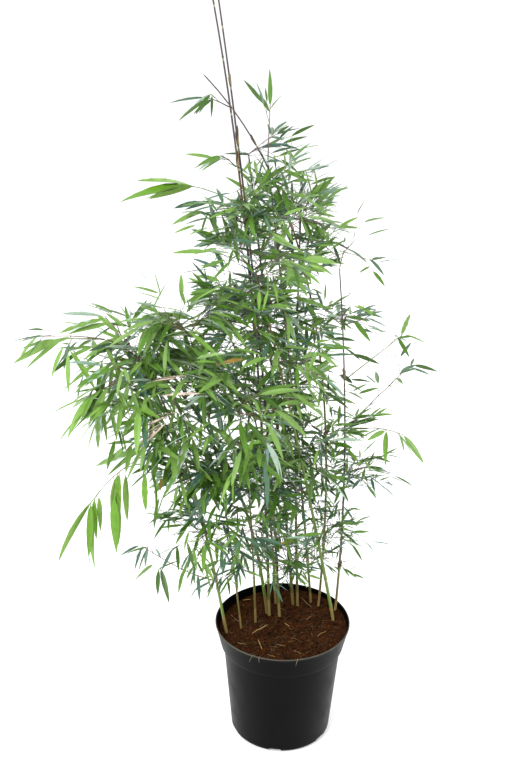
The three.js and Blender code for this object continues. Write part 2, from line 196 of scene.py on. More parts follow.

# Each culm bends from its foot past a shoulder to its tip. Leaf is the length of its leaves
# and hang the angle they droop by. Masses are given by their share of the way up the culm,
# the way they face, from the right towards the back, and their reach. Bark says how its cane
# is coloured and light how its leaves are, whose tones are painted light or shade by it.
CULMS = {
    "left_edge": dict(
        foot=(-108, -12), shoulder=(-165, -30, 600), tip=(-235, -80, 780), bark="green",
        radius=3.0, leaf=64, hang=24, light="open",
        masses=((0.34, 250, 70), (0.5, 172, 64), (0.84, 196, 108))),
    "left_thin": dict(
        foot=(-80, 2), shoulder=(-112, -10, 560), tip=(-170, -60, 850), bark="brown",
        radius=1.9, leaf=56, hang=18, light="open",
        masses=((0.46, 300, 75), (0.76, 250, 80), (0.96, 70, 80))),
    "left_arch": dict(
        foot=(-29, 54), shoulder=(-80, 45, 676), tip=(-315, -20, 824), bark="green",
        radius=3.3, leaf=62, hang=24, light="open",
        masses=((0.46, 220, 90), (0.66, 90, 95), (0.8, 245, 90), (0.9, 130, 85))),
    "tall_left": dict(
        foot=(-25, 46), shoulder=(-52, 45, 996), tip=(-147, 40, 1452), bark="brown",
        radius=2.8, leaf=46, hang=-4, light="high",
        masses=((0.34, 190, 90), (0.5, 245, 70))),
    "tall_right": dict(
        foot=(-5, 40), shoulder=(-44, 42, 871), tip=(-133, 52, 1436), bark="brown",
        radius=2.8, leaf=46, hang=-4, light="high",
        masses=((0.22, 270, 80), (0.5, 270, 80), (0.67, 266, 56))),
    "centre_dark": dict(
        foot=(23, 86), shoulder=(-15, 95, 640), tip=(-75, 115, 1120), bark="brown",
        radius=3.2, leaf=44, hang=-4, light="shade",
        masses=((0.3, 160, 70), (0.62, 130, 85), (0.92, 262, 80))),
    "centre_back": dict(
        foot=(32, 80), shoulder=(12, 120, 650), tip=(20, 130, 1070), bark="olive",
        radius=2.8, leaf=44, hang=-4, light="shade",
        masses=((0.38, 50, 80), (0.66, 20, 80), (0.88, 105, 66))),
    "mid_lean": dict(
        foot=(59, 86), shoulder=(22, 100, 620), tip=(-42, 60, 1120), bark="brown",
        radius=2.4, leaf=44, hang=-4, light="high",
        masses=((0.56, 290, 75), (0.89, 300, 74))),
    "bowed": dict(
        foot=(73, 72), shoulder=(119, 75, 990), tip=(-150, 60, 1261), bark="olive",
        radius=2.4, leaf=44, hang=-4, light="high",
        masses=((0.73, 250, 68),)),
    "right_lean": dict(
        foot=(100, 20), shoulder=(25, 10, 620), tip=(-60, -50, 960), bark="green",
        radius=3.2, leaf=52, hang=18, light="open",
        masses=((0.26, 300, 60), (0.48, 250, 85), (0.72, 300, 85), (0.94, 285, 75))),
    "right_edge": dict(
        foot=(105, 50), shoulder=(125, 58, 560), tip=(85, 40, 940), bark="brown",
        radius=2.5, leaf=44, hang=4, light="high",
        masses=((0.26, 240, 50), (0.44, 200, 60), (0.94, 70, 65))),
    "back_lean": dict(
        foot=(-12, 92), shoulder=(-30, 140, 600), tip=(-120, 170, 790), bark="olive",
        radius=2.5, leaf=50, hang=8, light="shade",
        masses=((0.66, 110, 90), (0.94, 60, 100))),
    "front_lean": dict(
        foot=(-52, 22), shoulder=(-62, -20, 540), tip=(-85, -100, 730), bark="olive",
        radius=2.3, leaf=60, hang=24, light="open",
        masses=((0.46, 260, 70), (0.94, 250, 90))),
}

# Sparse arms that stand out of the crown, bare for the first share of their reach
ARM_KEYS = ("culm", "at", "turn", "rise", "reach", "droop", "leaf", "hang", "bare", "light", "fan")
ARMS = (
    ("tall_left", 0.67, 190, 45, 34, 30, 40, 12, 0.3, "open"),
    ("bowed", 0.91, 165, 24, 40, 10, 48, 46, 0.3, "open"),
    ("mid_lean", 1, 80, 82, 92, 0, 44, -14, 0.6, "open"),
    ("centre_dark", 0.89, 182, 32, 130, 24, 96, 8, 0.95, "bright", 0.3),
    ("right_edge", 0.71, 4, 41, 130, 4, 40, 8, 0.55, "high"),
    ("right_edge", 0.57, 31, 43, 172, 8, 42, 20, 0.35, "high"),
    ("right_edge", 0.57, 331, 24, 118, 34, 60, 28, 0.6, "high"),
    ("left_arch", 1, 186, 8, 116, 16, 60, 20, 0.3, "shade"),
    ("left_edge", 0.66, 203, -5, 192, 45, 100, 66, 0.15, "bright"),
    ("left_edge", 0.17, 186, 20, 155, -16, 90, 55, 0.25, "shade"),
)

# Slighter arms, which the part's solids leave out
SLIGHT_ARMS = (
    ("left_edge", 1, 190, -4, 110, 30, 62, 14, 0.6, "open"),
    ("left_arch", 1, 188, 6, 84, 14, 70, 26, 0.6, "open"),
    ("left_arch", 0.86, 180, 52, 104, 8, 66, 16, 0.7, "open"),
    ("tall_left", 0.58, 186, 24, 80, 30, 50, 16, 0.4, "high"),
    ("right_edge", 0.86, 350, 24, 44, 10, 40, 4, 0.5, "high"),
)

# The tones of leaves, and the share of sprays of each of them in each kind of light: painted light and
# shade, with darker tones dealt more often to sprays in shade
TONES = ("bright", "fresh", "mid", "deep", "dim", "lush", "dry", "husk")
TONE_SHARES = {
    "bright": (0, 0, 0, 0, 0, 1),
    "open": (0.2, 0.36, 0.26, 0.12, 0.06),
    "high": (0.08, 0.3, 0.34, 0.2, 0.08),
    "shade": (0.03, 0.17, 0.3, 0.26, 0.24),
}
TONE_COLOURS = {
    "bright": ("#6C9438", "#8EAC72"),
    "fresh": ("#678A3C", "#9AAE9C"),
    "mid": ("#4B721C", "#7C9884"),
    "deep": ("#34560E", "#5E7C62"),
    "dim": ("#3F6048", "#6A8886"),
    "lush": ("#5C8820", "#789C44"),
    "dry": ("#B08C46", "#A08C54"),
    "husk": ("#CDB6A8", "#B8A294"),
}

# Where leaves have dried: a place in the crown, how many of the leaves nearest to it, and how
DRY_SPOTS = (
    ((-77, -52, 803), 1, "dry"), ((-222, -69, 582), 1, "dry"), ((-53, -10, 395), 1, "dry"),
    ((-13, 20, 386), 1, "dry"), ((-113, -20, 445), 1, "dry"),
    ((-216, -165, 747), 9, "husk"), ((-186, -170, 774), 8, "husk"),
)

# A husk's width and droop as shares of a leaf's, and the way it faces: the first and the spread
HUSK_WIDTH = 0.45
HUSK_DROOP = 0.5
HUSK_TURNS = (165, 50)

# Cane colours from the foot to the tip
BARK_COLOURS = {"straw": "#8E7C48", "green": "#6A8038", "olive": "#6A6432", "brown": "#5A4632",
                "purple": "#4A3D40", "scar": "#241A13", "bloom": "#908E70"}
BARK_KINDS = tuple(BARK_COLOURS)
BARKS = {
    "green": ("green", "green", "green", "green", "green", "olive", "olive", "brown"),
    "olive": ("olive", "olive", "olive", "olive", "brown", "brown", "purple", "purple"),
    "brown": ("olive", "brown", "brown", "purple", "purple", "brown", "purple", "purple"),
}

# Bits of straw that lie on the soil: both ends and the width
STRAWS = (
    ((-58.5, -20.8), (-27.6, 10.1), 2.4), ((-101, 44), (-80, 17), 1.6),
    ((-78, 88), (-62, 92), 2.0), ((39.4, 97.4), (60.5, 69.0), 1.5),
    ((-47, -43), (-39, -78), 1.6), ((20, -84), (33, -97), 1.3),
    ((66, -38), (84, -20), 1.2), ((-12, -62), (4, -70), 1.8),
    ((-86, -52), (-70, -60), 1.3), ((48, 22), (58, 38), 1.2),
    ((5, 10), (14, 1), 1.8), ((-30, -96), (-14, -104), 1.2),
)

# Bits of straw that hang over the front of the rim: the ways they face, their lengths and widths,
# and how far they lean aside from end to end, as a share of their length
RIM_STRAWS = ((246, 13, 1.3, -0.7), (249, 9, 1.0, 0.35), (283, 11, 1.1, -0.7))

# A straw on the soil lies this high at its ends, and bows up by a quarter of this much more
STRAW_LIFT = 1.5
STRAW_BOW = 3

# How a straw over the rim lies: out from it and up from it, and the share of its length it has hung
OVER_RIM = ((-13, -11, 0), (-5, -1, 0), (-1.2, 0.9, 0), (1.6, -1.5, 0), (2.2, 0, 0.5), (3.2, 0, 1))

# Half a straw's thickness, the share of its width that it narrows towards at its ends, how many
# steps past them it would reach that, and the points along it
STRAW_THICKNESS = 0.3
STRAW_END = 0.35
STRAW_PAST = 0.6
STRAW_POINTS = 7

# The colour of a weathered straw and of a weathered sheath, as a share of a fresh one's
DULL_STRAW = 0.6
DULL_SHEATH = 0.55


# Colours and materials

def linear(hex_colour):
    """The linear colour of an sRGB hex value, with alpha."""
    parts = [int(hex_colour[i:i + 2], 16) / 255 for i in (1, 3, 5)]
    return tuple(
        part / 12.92 if part <= 0.04045 else ((part + 0.055) / 1.055) ** 2.4 for part in parts
    ) + (1.0,)


def scaled(colour, share):
    """A colour made darker or lighter by a share."""
    return tuple(min(1.0, part * share) for part in colour[:3]) + (1.0,)


def add_node(tree, kind, inputs=None, **settings):
    """Adds a node with its settings, sets or links its inputs, and returns it."""
    made = tree.nodes.new(kind)
    for key, value in settings.items():
        setattr(made, key, value)
    for socket, value in (inputs or {}).items():
        if isinstance(value, bpy.types.NodeSocket):
            tree.links.new(value, made.inputs[socket])
        else:
            made.inputs[socket].default_value = value
    return made


# Sockets of the colour form of the Mix node, and the Wave node's scale for one band a unit
MIX_A, MIX_B, MIX_OUT = 6, 7, 2
WAVE_UNIT = 2 * math.pi / 20


def surface(name, **values):
    """A material whose Principled shader has these values. Returns it, its tree and its shader."""
    made = bpy.data.materials.new(name)
    made.use_nodes = True
    tree = made.node_tree
    tree.nodes.clear()
    shader = add_node(tree, "ShaderNodeBsdfPrincipled", values)
    add_node(tree, "ShaderNodeOutputMaterial", {"Surface": shader.outputs["BSDF"]})
    return made, tree, shader


def grain(tree, size_mm, stretch=(1, 1, 1), detail=3.0, roughness=0.55):
    """Noise whose lumps are size_mm across, drawn out by stretch. Returns its socket."""
    place = add_node(tree, "ShaderNodeTexCoord")
    squeeze = add_node(tree, "ShaderNodeMapping", {
        "Vector": place.outputs["Object"], "Scale": [1 / part for part in stretch]})
    lumps = add_node(tree, "ShaderNodeTexNoise", {
        "Vector": squeeze.outputs["Vector"], "Scale": 1 / (size_mm * MM), "Detail": detail,
        "Roughness": roughness})
    return lumps.outputs[0]


def sharpen(tree, value, low, high):
    """Spreads the part of a pattern between low and high over 0 to 1."""
    return add_node(tree, "ShaderNodeMapRange", {
        "Value": value, "From Min": low, "From Max": high}).outputs[0]


def blend_colours(tree, factor, first, second):
    """The colour between two colours by a pattern."""
    return add_node(tree, "ShaderNodeMix", {
        "Factor": factor, MIX_A: first, MIX_B: second}, data_type="RGBA").outputs[MIX_OUT]


def relief(tree, height, depth_mm, strength=1.0, over=None):
    """Bumps that are depth_mm deep, over other bumps if there are any."""
    inputs = {"Height": height, "Distance": depth_mm * MM, "Strength": strength}
    if over is not None:
        inputs["Normal"] = over
    return add_node(tree, "ShaderNodeBump", inputs).outputs["Normal"]


def skinned(made, colour, bumps):
    """Links a pattern of colours and one of bumps to a material's shader. Returns the material."""
    tree = made.node_tree
    shader = next(node for node in tree.nodes if node.type == "BSDF_PRINCIPLED")
    tree.links.new(colour, shader.inputs["Base Color"])
    tree.links.new(bumps, shader.inputs["Normal"])
    return made


def moulded_polypropylene(name, colour, dust, dust_share, shine=0.06):
    """Injection-moulded black polypropylene.

    The mould leaves a satin skin with broad soft highlights, and handling leaves it faintly
    scuffed and dusty.
    """
    made, tree, shader = surface(name, **{"Roughness": 0.4, "IOR": 1.49, "Specular IOR Level": shine})
    # Dust lies in faint clouds some 45 mm across, and scuffs are short smears round the pot
    clouds = sharpen(tree, grain(tree, 45, detail=6, roughness=0.62), 0.45, 0.85)
    dusty = blend_colours(tree, clouds, colour, scaled(dust, dust_share))
    scuffs = sharpen(tree, grain(tree, 7, stretch=(1, 1, 0.35), detail=5), 0.62, 0.72)
    scuffed = blend_colours(tree, scuffs, dusty, scaled(dust, dust_share * 1.25))
    rough = add_node(tree, "ShaderNodeMapRange", {
        "Value": clouds, "To Min": 0.36, "To Max": 0.55})
    tree.links.new(rough.outputs[0], shader.inputs["Roughness"])
    # The real skin's grain is 0.4 mm across, and is drawn at 1.6 mm so that it shows
    return skinned(made, scuffed, relief(tree, grain(tree, 1.6), 0.05, 0.5))


def moist_coir(name, colour, dark, pale):
    """Shredded coconut fibre mixed with peat, watered.

    It is dull, reddish and crumbly, with pale bits of husk, and the hollows of its relief get painted
    shade, nearly black.
    """
    made, tree, _ = surface(name, **{"Roughness": 0.92, "IOR": 1.4, "Specular IOR Level": 0.1})
    crumbs = grain(tree, 5, detail=8, roughness=0.7)
    # Patches some 18 mm across are wetter or drier than the rest
    patches = sharpen(tree, grain(tree, 18, detail=5, roughness=0.65), 0.4, 0.6)
    drier = blend_colours(tree, patches, scaled(colour, 0.62), scaled(colour, 1.3))
    # Painted shade: the colour goes nearly black where the crumb pattern is low, in the hollows of the
    # relief
    ground_with_painted_shade = blend_colours(tree, sharpen(tree, crumbs, 0.38, 0.62), dark, drier)
    husk = sharpen(tree, grain(tree, 2.2, stretch=(1, 2.5, 1), detail=4), 0.63, 0.7)
    fine = relief(tree, grain(tree, 1.5, detail=5, roughness=0.7), 0.8)
    return skinned(made, blend_colours(tree, husk, ground_with_painted_shade, pale), relief(tree, crumbs, 2.5, 1.0, fine))


def living_cane(name, colour):
    """Bamboo cane as it grows.

    Its skin is smooth and slightly waxy, with a soft sheen and fine lines along it.
    """
    made, tree, _ = surface(name, Roughness=0.42, IOR=1.45)
    # Fibre lines are 0.3 mm apart, and are drawn at 1.2 mm so that they show
    lines = grain(tree, 1.2, stretch=(1, 1, 14), detail=3)
    blotches = sharpen(tree, grain(tree, 16, stretch=(1, 1, 3), detail=4), 0.35, 0.75)
    streaked = blend_colours(tree, lines, scaled(colour, 0.78), scaled(colour, 1.12))
    blotched = blend_colours(tree, blotches, streaked, scaled(colour, 0.7))
    return skinned(made, blotched, relief(tree, lines, 0.08, 0.5))


def papery_husk(name, colour):
    """Dry sheaths and straw: thin, papery and matt, ribbed along their length."""
    made, tree, _ = surface(name, Roughness=0.72, IOR=1.45)
    # Ribs are 0.5 mm apart, and are drawn at 1.4 mm so that they show
    ribs = grain(tree, 1.4, stretch=(1, 1, 9), detail=3)
    ribbed = blend_colours(tree, ribs, scaled(colour, 0.7), scaled(colour, 1.1))
    return skinned(made, ribbed, relief(tree, ribs, 0.15, 0.7))


def leaf_blade(name, colour, roughness, veins):
    """A living bamboo leaf, ribbed along its length.

    Above it is satin and fresh green; underneath it is paler, bluer and duller.
    """
    made, tree, _ = surface(name, Roughness=roughness, IOR=1.45)
    shade = sharpen(tree, grain(tree, 9, detail=4), 0.3, 0.7)
    mottled = blend_colours(tree, shade, scaled(colour, 0.86), scaled(colour, 1.1))
    # Veins are 0.8 mm apart, twelve to a blade, and are drawn eight to a blade so that they show
    place = add_node(tree, "ShaderNodeTexCoord")
    ribs = add_node(tree, "ShaderNodeTexWave", {
        "Vector": place.outputs["UV"], "Scale": 8 * WAVE_UNIT, "Distortion": 0.0},
        bands_direction="X")
    faint = add_node(tree, "ShaderNodeMath", {0: ribs.outputs["Fac"], 1: veins}, operation="MULTIPLY")
    veined = blend_colours(tree, faint.outputs[0], mottled, scaled(colour, 1.35))
    return skinned(made, veined, relief(tree, ribs.outputs["Fac"], 0.12, 0.5))


def studio_floor(name, colour):
    """Painted board, matt and pale, with the faint unevenness of rolled paint."""
    made, tree, shader = surface(
        name, **{"Roughness": 0.75, "IOR": 1.45, "Emission Color": colour, "Emission Strength": 0.15})
    clouds = blend_colours(tree, grain(tree, 300, detail=3), scaled(colour, 0.985), colour)
    tree.links.new(clouds, shader.inputs["Base Color"])
    return made


# Meshes

class Gathered:
    """Closed shapes gathered into one mesh, each face with the number of its material."""

    def __init__(self):
        self.points, self.faces, self.kinds, self.count = [], [], [], 0

    def add(self, points, faces, kinds=0):
        self.points.append(np.asarray(points, float))
        self.faces.extend([tuple(i + self.count for i in face) for face in faces])
        self.kinds.extend([kinds] * len(faces) if isinstance(kinds, int) else kinds)
        self.count += len(points)

    def piece(self, name, materials, crease=None):
        return mesh_piece(name, np.concatenate(self.points), self.faces, self.kinds, materials, crease)


def mesh_piece(name, points, faces, kinds, materials, crease=None):
    """An object of these points, in millimetres, smooth but for edges sharper than crease degrees.

    Kinds are the numbers of the faces' materials, and aren't needed where there is only one.
    """
    mesh = bpy.data.meshes.new(name)
    mesh.from_pydata((np.asarray(points) * MM).tolist(), [], faces)
    for made in materials:
        mesh.materials.append(made)
    if len(materials) > 1:
        mesh.polygons.foreach_set("material_index", kinds)
    mesh.shade_smooth()
    if crease is not None:
        mesh.set_sharp_from_angle(angle=math.radians(crease))
    mesh.validate()
    mesh.update()
    piece = bpy.data.objects.new(name, mesh)
    bpy.context.scene.collection.objects.link(piece)
    return piece


def on_plant(piece, nodes):
    """Says what a piece rides on and stands for."""
    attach(piece, "root")
    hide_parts(*nodes)
    return piece


def lathe(profile, sides):
    """Points and faces of a closed profile of (radius, height), from the axis to the axis."""
    points, rings, faces = [], [], []
    for radius, height in profile:
        if radius == 0:
            rings.append([len(points)] * sides)
            points.append((0, 0, height))
            continue
        rings.append(list(range(len(points), len(points) + sides)))
        for i in range(sides):
            angle = 2 * math.pi * i / sides
            points.append((radius * math.cos(angle), radius * math.sin(angle), height))
    for low, high in zip(rings, rings[1:]):
        for i in range(sides):
            j = (i + 1) % sides
            corners = [low[i], low[j], high[j], high[i]]
            faces.append(tuple(dict.fromkeys(corners)))
    return points, faces


def arc(centre, radius, start, end, steps):
    """Points on an arc in a profile, angles in degrees."""
    return [
        (centre[0] + radius * math.cos(math.radians(angle)),
         centre[1] + radius * math.sin(math.radians(angle)))
        for angle in np.linspace(start, end, steps + 1)
    ]


def unit(vector):
    """The direction of a vector."""
    return vector / np.linalg.norm(vector)


def tube(points, radii, sides, across=(1.0, 0.0, 0.0)):
    """Points and faces of a closed tube along a path. Across is a direction its rings lie along."""
    points = np.asarray(points, float)
    last = len(points) - 1
    angles = np.arange(sides) * 2 * math.pi / sides
    rings = []
    for i, point in enumerate(points):
        along = unit(points[min(last, i + 1)] - points[max(0, i - 1)])
        first = unit(np.asarray(across) - along * np.dot(across, along))
        second = np.cross(along, first)
        rings.append(
            point + radii[i] * (np.outer(np.cos(angles), first) + np.outer(np.sin(angles), second)))
    faces = [tuple(reversed(range(sides)))]
    for i in range(last):
        low = i * sides
        for j in range(sides):
            k = (j + 1) % sides
            faces.append((low + j, low + k, low + sides + k, low + sides + j))
    faces.append(tuple(last * sides + j for j in range(sides)))
    return np.concatenate(rings), faces


# Growth, by the same rule and the same draws as the part's solids

WORD = 0xFFFFFFFF


def seeded(seed):
    """A repeatable stream of numbers from 0 to 1."""
    state = seed & WORD

    def draw():
        nonlocal state
        state = (state + 0x6D2B79F5) & WORD
        mixed = ((state ^ (state >> 15)) * (1 | state)) & WORD
        mixed = ((mixed + ((mixed ^ (mixed >> 7)) * (61 | mixed) & WORD)) & WORD) ^ mixed
        return ((mixed ^ (mixed >> 14)) & WORD) / (WORD + 1)

    return draw


def within(draw, limits):
    """A number drawn between two limits."""
    return limits[0] + (limits[1] - limits[0]) * draw()


def aim(turn, pitch):
    """The direction that faces turn degrees round from +X and pitch degrees up."""
    turn, pitch = math.radians(turn), math.radians(pitch)
    flat = math.cos(pitch)
    return np.array([math.cos(turn) * flat, math.sin(turn) * flat, math.sin(pitch)])


def nearest(value):
    """The nearest whole number, halves upwards."""
    return math.floor(value + 0.5)


def soil_height(x, y):
    """The level of the soil, without its lumps."""
    return SOIL_LEVEL + SOIL_RISE_X * x + SOIL_RISE_Y * y


def culm_point(name, share):
    """The middle of a culm at a share of the way from its foot to its tip."""
    culm = CULMS[name]
    foot = np.array([*culm["foot"], soil_height(*culm["foot"])])
    shoulder, tip = np.array(culm["shoulder"], float), np.array(culm["tip"], float)
    return (1 - share) ** 2 * foot + 2 * share * (1 - share) * shoulder + share ** 2 * tip


def culm_radius(name, share):
    """The radius of a culm there."""
    return CULMS[name]["radius"] * (1 - CULM_TAPER * share)


@lru_cache(maxsize=None)
def culm_length(name):
    """The length of a culm along its bend."""
    path = np.array([culm_point(name, share) for share in np.linspace(0, 1, LENGTH_STEPS + 1)])
    return float(np.linalg.norm(np.diff(path, axis=0), axis=1).sum())


def joint_count(name):
    """How many lengths between joints a culm has."""
    return nearest(culm_length(name) / INTERNODE)


def spray(draw, start, end, way, count, leaf, mass):
    """Leaves round the last part of a twig, the first at its tip: root, turn, pitch, length, roll."""
    bow = UP * TWIG_BOW * np.linalg.norm(end - start)
    leaves = []
    for i in range(count):
        side = 0 if i == 0 else (1 if i % 2 else -1)
        swing = (side * within(draw, LEAF_SPREAD) + within(draw, LEAF_SWING)) * mass["fan"]
        droop = max(STEEPEST, way[1] / 2 + within(draw, LEAF_DIP) * mass["fan"] - mass["hang"])
        length = leaf * within(draw, LEAF_LENGTH)
        roll = within(draw, LEAF_ROLL)
        back = LEAF_STEP * i
        root = end + (start - end) * back + bow * 4 * back * (1 - back)
        leaves.append((root, way[0] + swing, droop, length, roll))
    return leaves


def leaf_length(mass, height):
    """The usual length of a mass's leaves, which are smaller low down."""
    return mass["leaf"] * LEAF_GROWTH * np.interp(height, (LOW_HEIGHT, FULL_HEIGHT), (LOW_SHARE, 1))


def side_twig(start, way, spread, pitch, length):
    """The end of a twig that leaves start to one side of a way, and its own way."""
    way = (way[0] + spread, way[1] + pitch)
    return start + aim(*way) * length, way


def grow(mass, order):
    """The stem of one mass, and its twigs, each with its leaves, its level and what carries it."""
    draw = seeded(SEED + order)
    share = nearest(mass["at"] * joint_count(mass["culm"])) / joint_count(mass["culm"])
    gap = culm_radius(mass["culm"], share) * RING_SWELL + SEAT + STEM_RADIUS
    joints = max(2, nearest(mass["reach"] / mass["knot"]))
    step = mass["reach"] / joints
    points = [culm_point(mass["culm"], share) + aim(mass["turn"], 0) * gap]
    ways, turn = [], mass["turn"]
    for i in range(joints):
        pitch = mass["rise"] - mass["droop"] * (i / joints)
        turn += (draw() - 0.5) * mass["wander"]
        ways.append((turn, pitch))
        points.append(points[i] + aim(turn, pitch) * step)
    leaf = leaf_length(mass, points[0][2])
    twigs = []
    for i in range(1, joints):
        side = 1 if (i + order) % 2 else -1
        spread = side * within(draw, TWIG_SPREAD)
        pitch = within(draw, TWIG_PITCH)
        length = mass["twig"] * within(draw, TWIG_LENGTH)
        start = points[i]
        end, way = side_twig(start, ways[i], spread, pitch, length)
        leaves = spray(draw, start, end, way, mass["leaves"], leaf, mass)
        if i / joints >= mass["bare"]:
            twigs.append(dict(start=start, end=end, way=way, leaves=leaves, level=1))
    top = spray(draw, points[-2], points[-1], ways[-1], TOP_LEAVES, leaf, mass)
    twigs += finer(mass, seeded(FINE_SEED + order), points, ways, twigs)
    return dict(points=points, twigs=twigs, top=top)


def finer(mass, draw, points, ways, twigs):
    """The finer twigs of one mass, which the part's solids leave out."""
    leaf = leaf_length(mass, points[0][2])
    added = []
    if not mass["arm"]:
        for i, way in enumerate(ways):
            for share in SIDE_TWIGS:
                start = points[i] + (points[i + 1] - points[i]) * share
                side = 1 if draw() < 0.5 else -1
                spread, pitch = side * within(draw, SIDE_SPREAD), within(draw, SIDE_PITCH)
                length = within(draw, SIDE_LENGTH)
                end, aside = side_twig(start, way, spread, pitch, length)
                leaves = spray(draw, start, end, aside, SIDE_LEAVES, leaf * SIDE_SHARE, mass)
                added.append(dict(start=start, end=end, way=aside, leaves=leaves, level=1))
    leaves_each, share = (ARM_FINE_LEAVES, ARM_FINE_LENGTH) if mass["arm"] else (FINE_LEAVES, 1)
    for carrier in twigs + added[:]:
        for k in range(mass["fine"]):
            start = carrier["start"] + (carrier["end"] - carrier["start"]) * within(draw, FINE_START)
            spread = (1 if k % 2 else -1) * within(draw, FINE_SPREAD)
            pitch = within(draw, FINE_PITCH)
            length = share * within(draw, FINE_LENGTH)
            end, aside = side_twig(start, carrier["way"], spread, pitch, length)
            leaves = spray(draw, start, end, aside, leaves_each, leaf * FINE_SHARE, mass)
            added.append(dict(
                start=start, end=end, way=aside, leaves=leaves, level=2, carrier=carrier))
    return added


def on_culm(kind, name, node, at, turn, reach):
    """A mass or tuft with the leaves that its culm has."""
    culm = CULMS[name]
    return dict(
        kind, node=node, culm=name, at=at, turn=turn, reach=reach,
        leaf=culm["leaf"], hang=culm["hang"], light=culm["light"])


def sparse_arm(row, node):
    """An arm from a row of the tables."""
    return dict(ARM, node=node, **dict(zip(ARM_KEYS, row)))


@lru_cache(maxsize=None)
def masses():
    """All masses of foliage with their node names, in the order of the part's source."""
    found = []
    for name, culm in CULMS.items():
        for i, place in enumerate(culm["masses"], 1):
            found.append(on_culm(FULL, name, f"foliage_{name}_{i}", *place))
    found += [sparse_arm(row, f"foliage_arm_{i}") for i, row in enumerate(ARMS, 1)]
    found += tufts(found)
    found += [sparse_arm(row, None) for row in SLIGHT_ARMS]
    # Painted shade: masses low in the crown take the darker tones dealt in shade
    for mass in found:
        if mass["light"] != "bright" and culm_point(mass["culm"], mass["at"])[2] < SHADE_BELOW:
            mass["light"] = "shade"
    return found


def tufts(found):
    """Small tufts at joints that carry no mass, and those with a place of their own."""
    added = []
    low, high = TUFT_HEIGHTS
    for order, name in enumerate(CULMS):
        draw, joints = seeded(TUFT_SEED + order), joint_count(name)
        taken = {nearest(mass["at"] * joints) for mass in found if mass["culm"] == name}
        for joint in range(1, joints):
            chosen, turn, reach = draw() < TUFT_CHANCE, 360 * draw(), within(draw, TUFT_REACH)
            if chosen and joint not in taken and low < culm_point(name, joint / joints)[2] < high:
                added.append(tuft(name, joint, turn, reach))
    return added + [tuft(*placed) for placed in PLACED_TUFTS]


def tuft(name, joint, turn, reach):
    """A tuft at one of a culm's joints, which no node of the part stands for."""
    return on_culm(TUFT, name, None, joint / joint_count(name), turn, reach)


# Room that twigs and leaves keep to

# How far they may stand proud of the plant's own box, the radius and height round the pot that
# they stay out of, and how far they stay from a cane. Canes are tested at this many points each,
# and leaves in batches of about this many
BOX_SLACK = 6
POT_KEEP_OUT = (138, 250)
CANE_KEEP_OUT = 1.2
CANE_TESTS = 240
BATCH = 400


@lru_cache(maxsize=None)
def cane_samples():
    """Points along every cane, and how far from each of them nothing grows."""
    shares = np.linspace(0, 1, CANE_TESTS)
    points = np.array([culm_point(name, share) for name in CULMS for share in shares])
    radii = np.array([culm_radius(name, share) for name in CULMS for share in shares])
    return points, radii + CANE_KEEP_OUT


def clear(points):
    """Which rows of points stay in the plant's own box and out of the pot, canes and openings."""
    low, high = (np.array(corner) / MM for corner in CAD_BOX)
    inside = ((points > low - BOX_SLACK) & (points < high + BOX_SLACK)).all(axis=(1, 2))
    radius = np.hypot(points[..., 0], points[..., 1])
    potted = ((radius < POT_KEEP_OUT[0]) & (points[..., 2] < POT_KEEP_OUT[1])).any(axis=1)
    canes, radii = cane_samples()
    hits = np.zeros(len(points), bool)
    for k in range(points.shape[1]):
        for rows in np.array_split(np.arange(len(points)), max(1, len(points) // BATCH)):
            near = np.linalg.norm(points[rows, k, None] - canes[None], axis=2) < radii
            hits[rows] |= near.any(axis=1)
    for middle, reach in OPENINGS:
        hits |= (np.linalg.norm(points - middle, axis=2) < reach).any(axis=1)
    return inside & ~potted & ~hits


@lru_cache(maxsize=None)
def plant():
    """Every mass grown, without the twigs that would leave their room."""
    grown = []
    for order, mass in enumerate(masses()):
        growth = grow(mass, order)
        ends = np.array([twig["end"] for twig in growth["twigs"]]).reshape(-1, 1, 3)
        for twig, free in zip(growth["twigs"], clear(ends)):
            twig["kept"] = bool(free) and twig.get("carrier", {}).get("kept", True)
        growth["twigs"] = [twig for twig in growth["twigs"] if twig["kept"]]
        grown.append((order, mass, growth))
    return grown


# Leaves

# A blade's width along its length, as shares of its own: the stalk, the round base, the long tip.
# The first stations are the stalk, which may touch what carries it
STATIONS = np.array([0, 0.05, 0.13, 0.28, 0.5, 0.74, 0.9, 1.0])
WIDTHS = np.array([0.08, 0.14, 0.55, 0.92, 1.0, 0.7, 0.34, 0.02])
STALK_STATIONS = 2
BLADE_THICKNESS = 0.4

# The corners of a blade's section, and how early along its length it starts to bend down
CORNERS = 4
LEFT, TOP, RIGHT, UNDER = range(CORNERS)
BEND_POWER = 1.3

# A leaf's width as a share of the usual one, and how far it twists from root to tip in degrees.
# Some leaves are still rolled into spears and stand up, and those of a spray drawn together look wider
BLADE_WIDTHS = (0.85, 1.2)
BLADE_TWIST = 60
SPEAR_CHANCE = 0.05
SPEAR_WIDTH = 0.3
SPEAR_LIFT = 30
BUNDLE_WIDTH = 1.7
TONE_SEED = 9000


def aim_all(turn, pitch):
    """The directions that arrays of angles aim in."""
    turn, pitch = np.radians(turn), np.radians(pitch)
    return np.stack([np.cos(turn) * np.cos(pitch), np.sin(turn) * np.cos(pitch), np.sin(pitch)], -1)


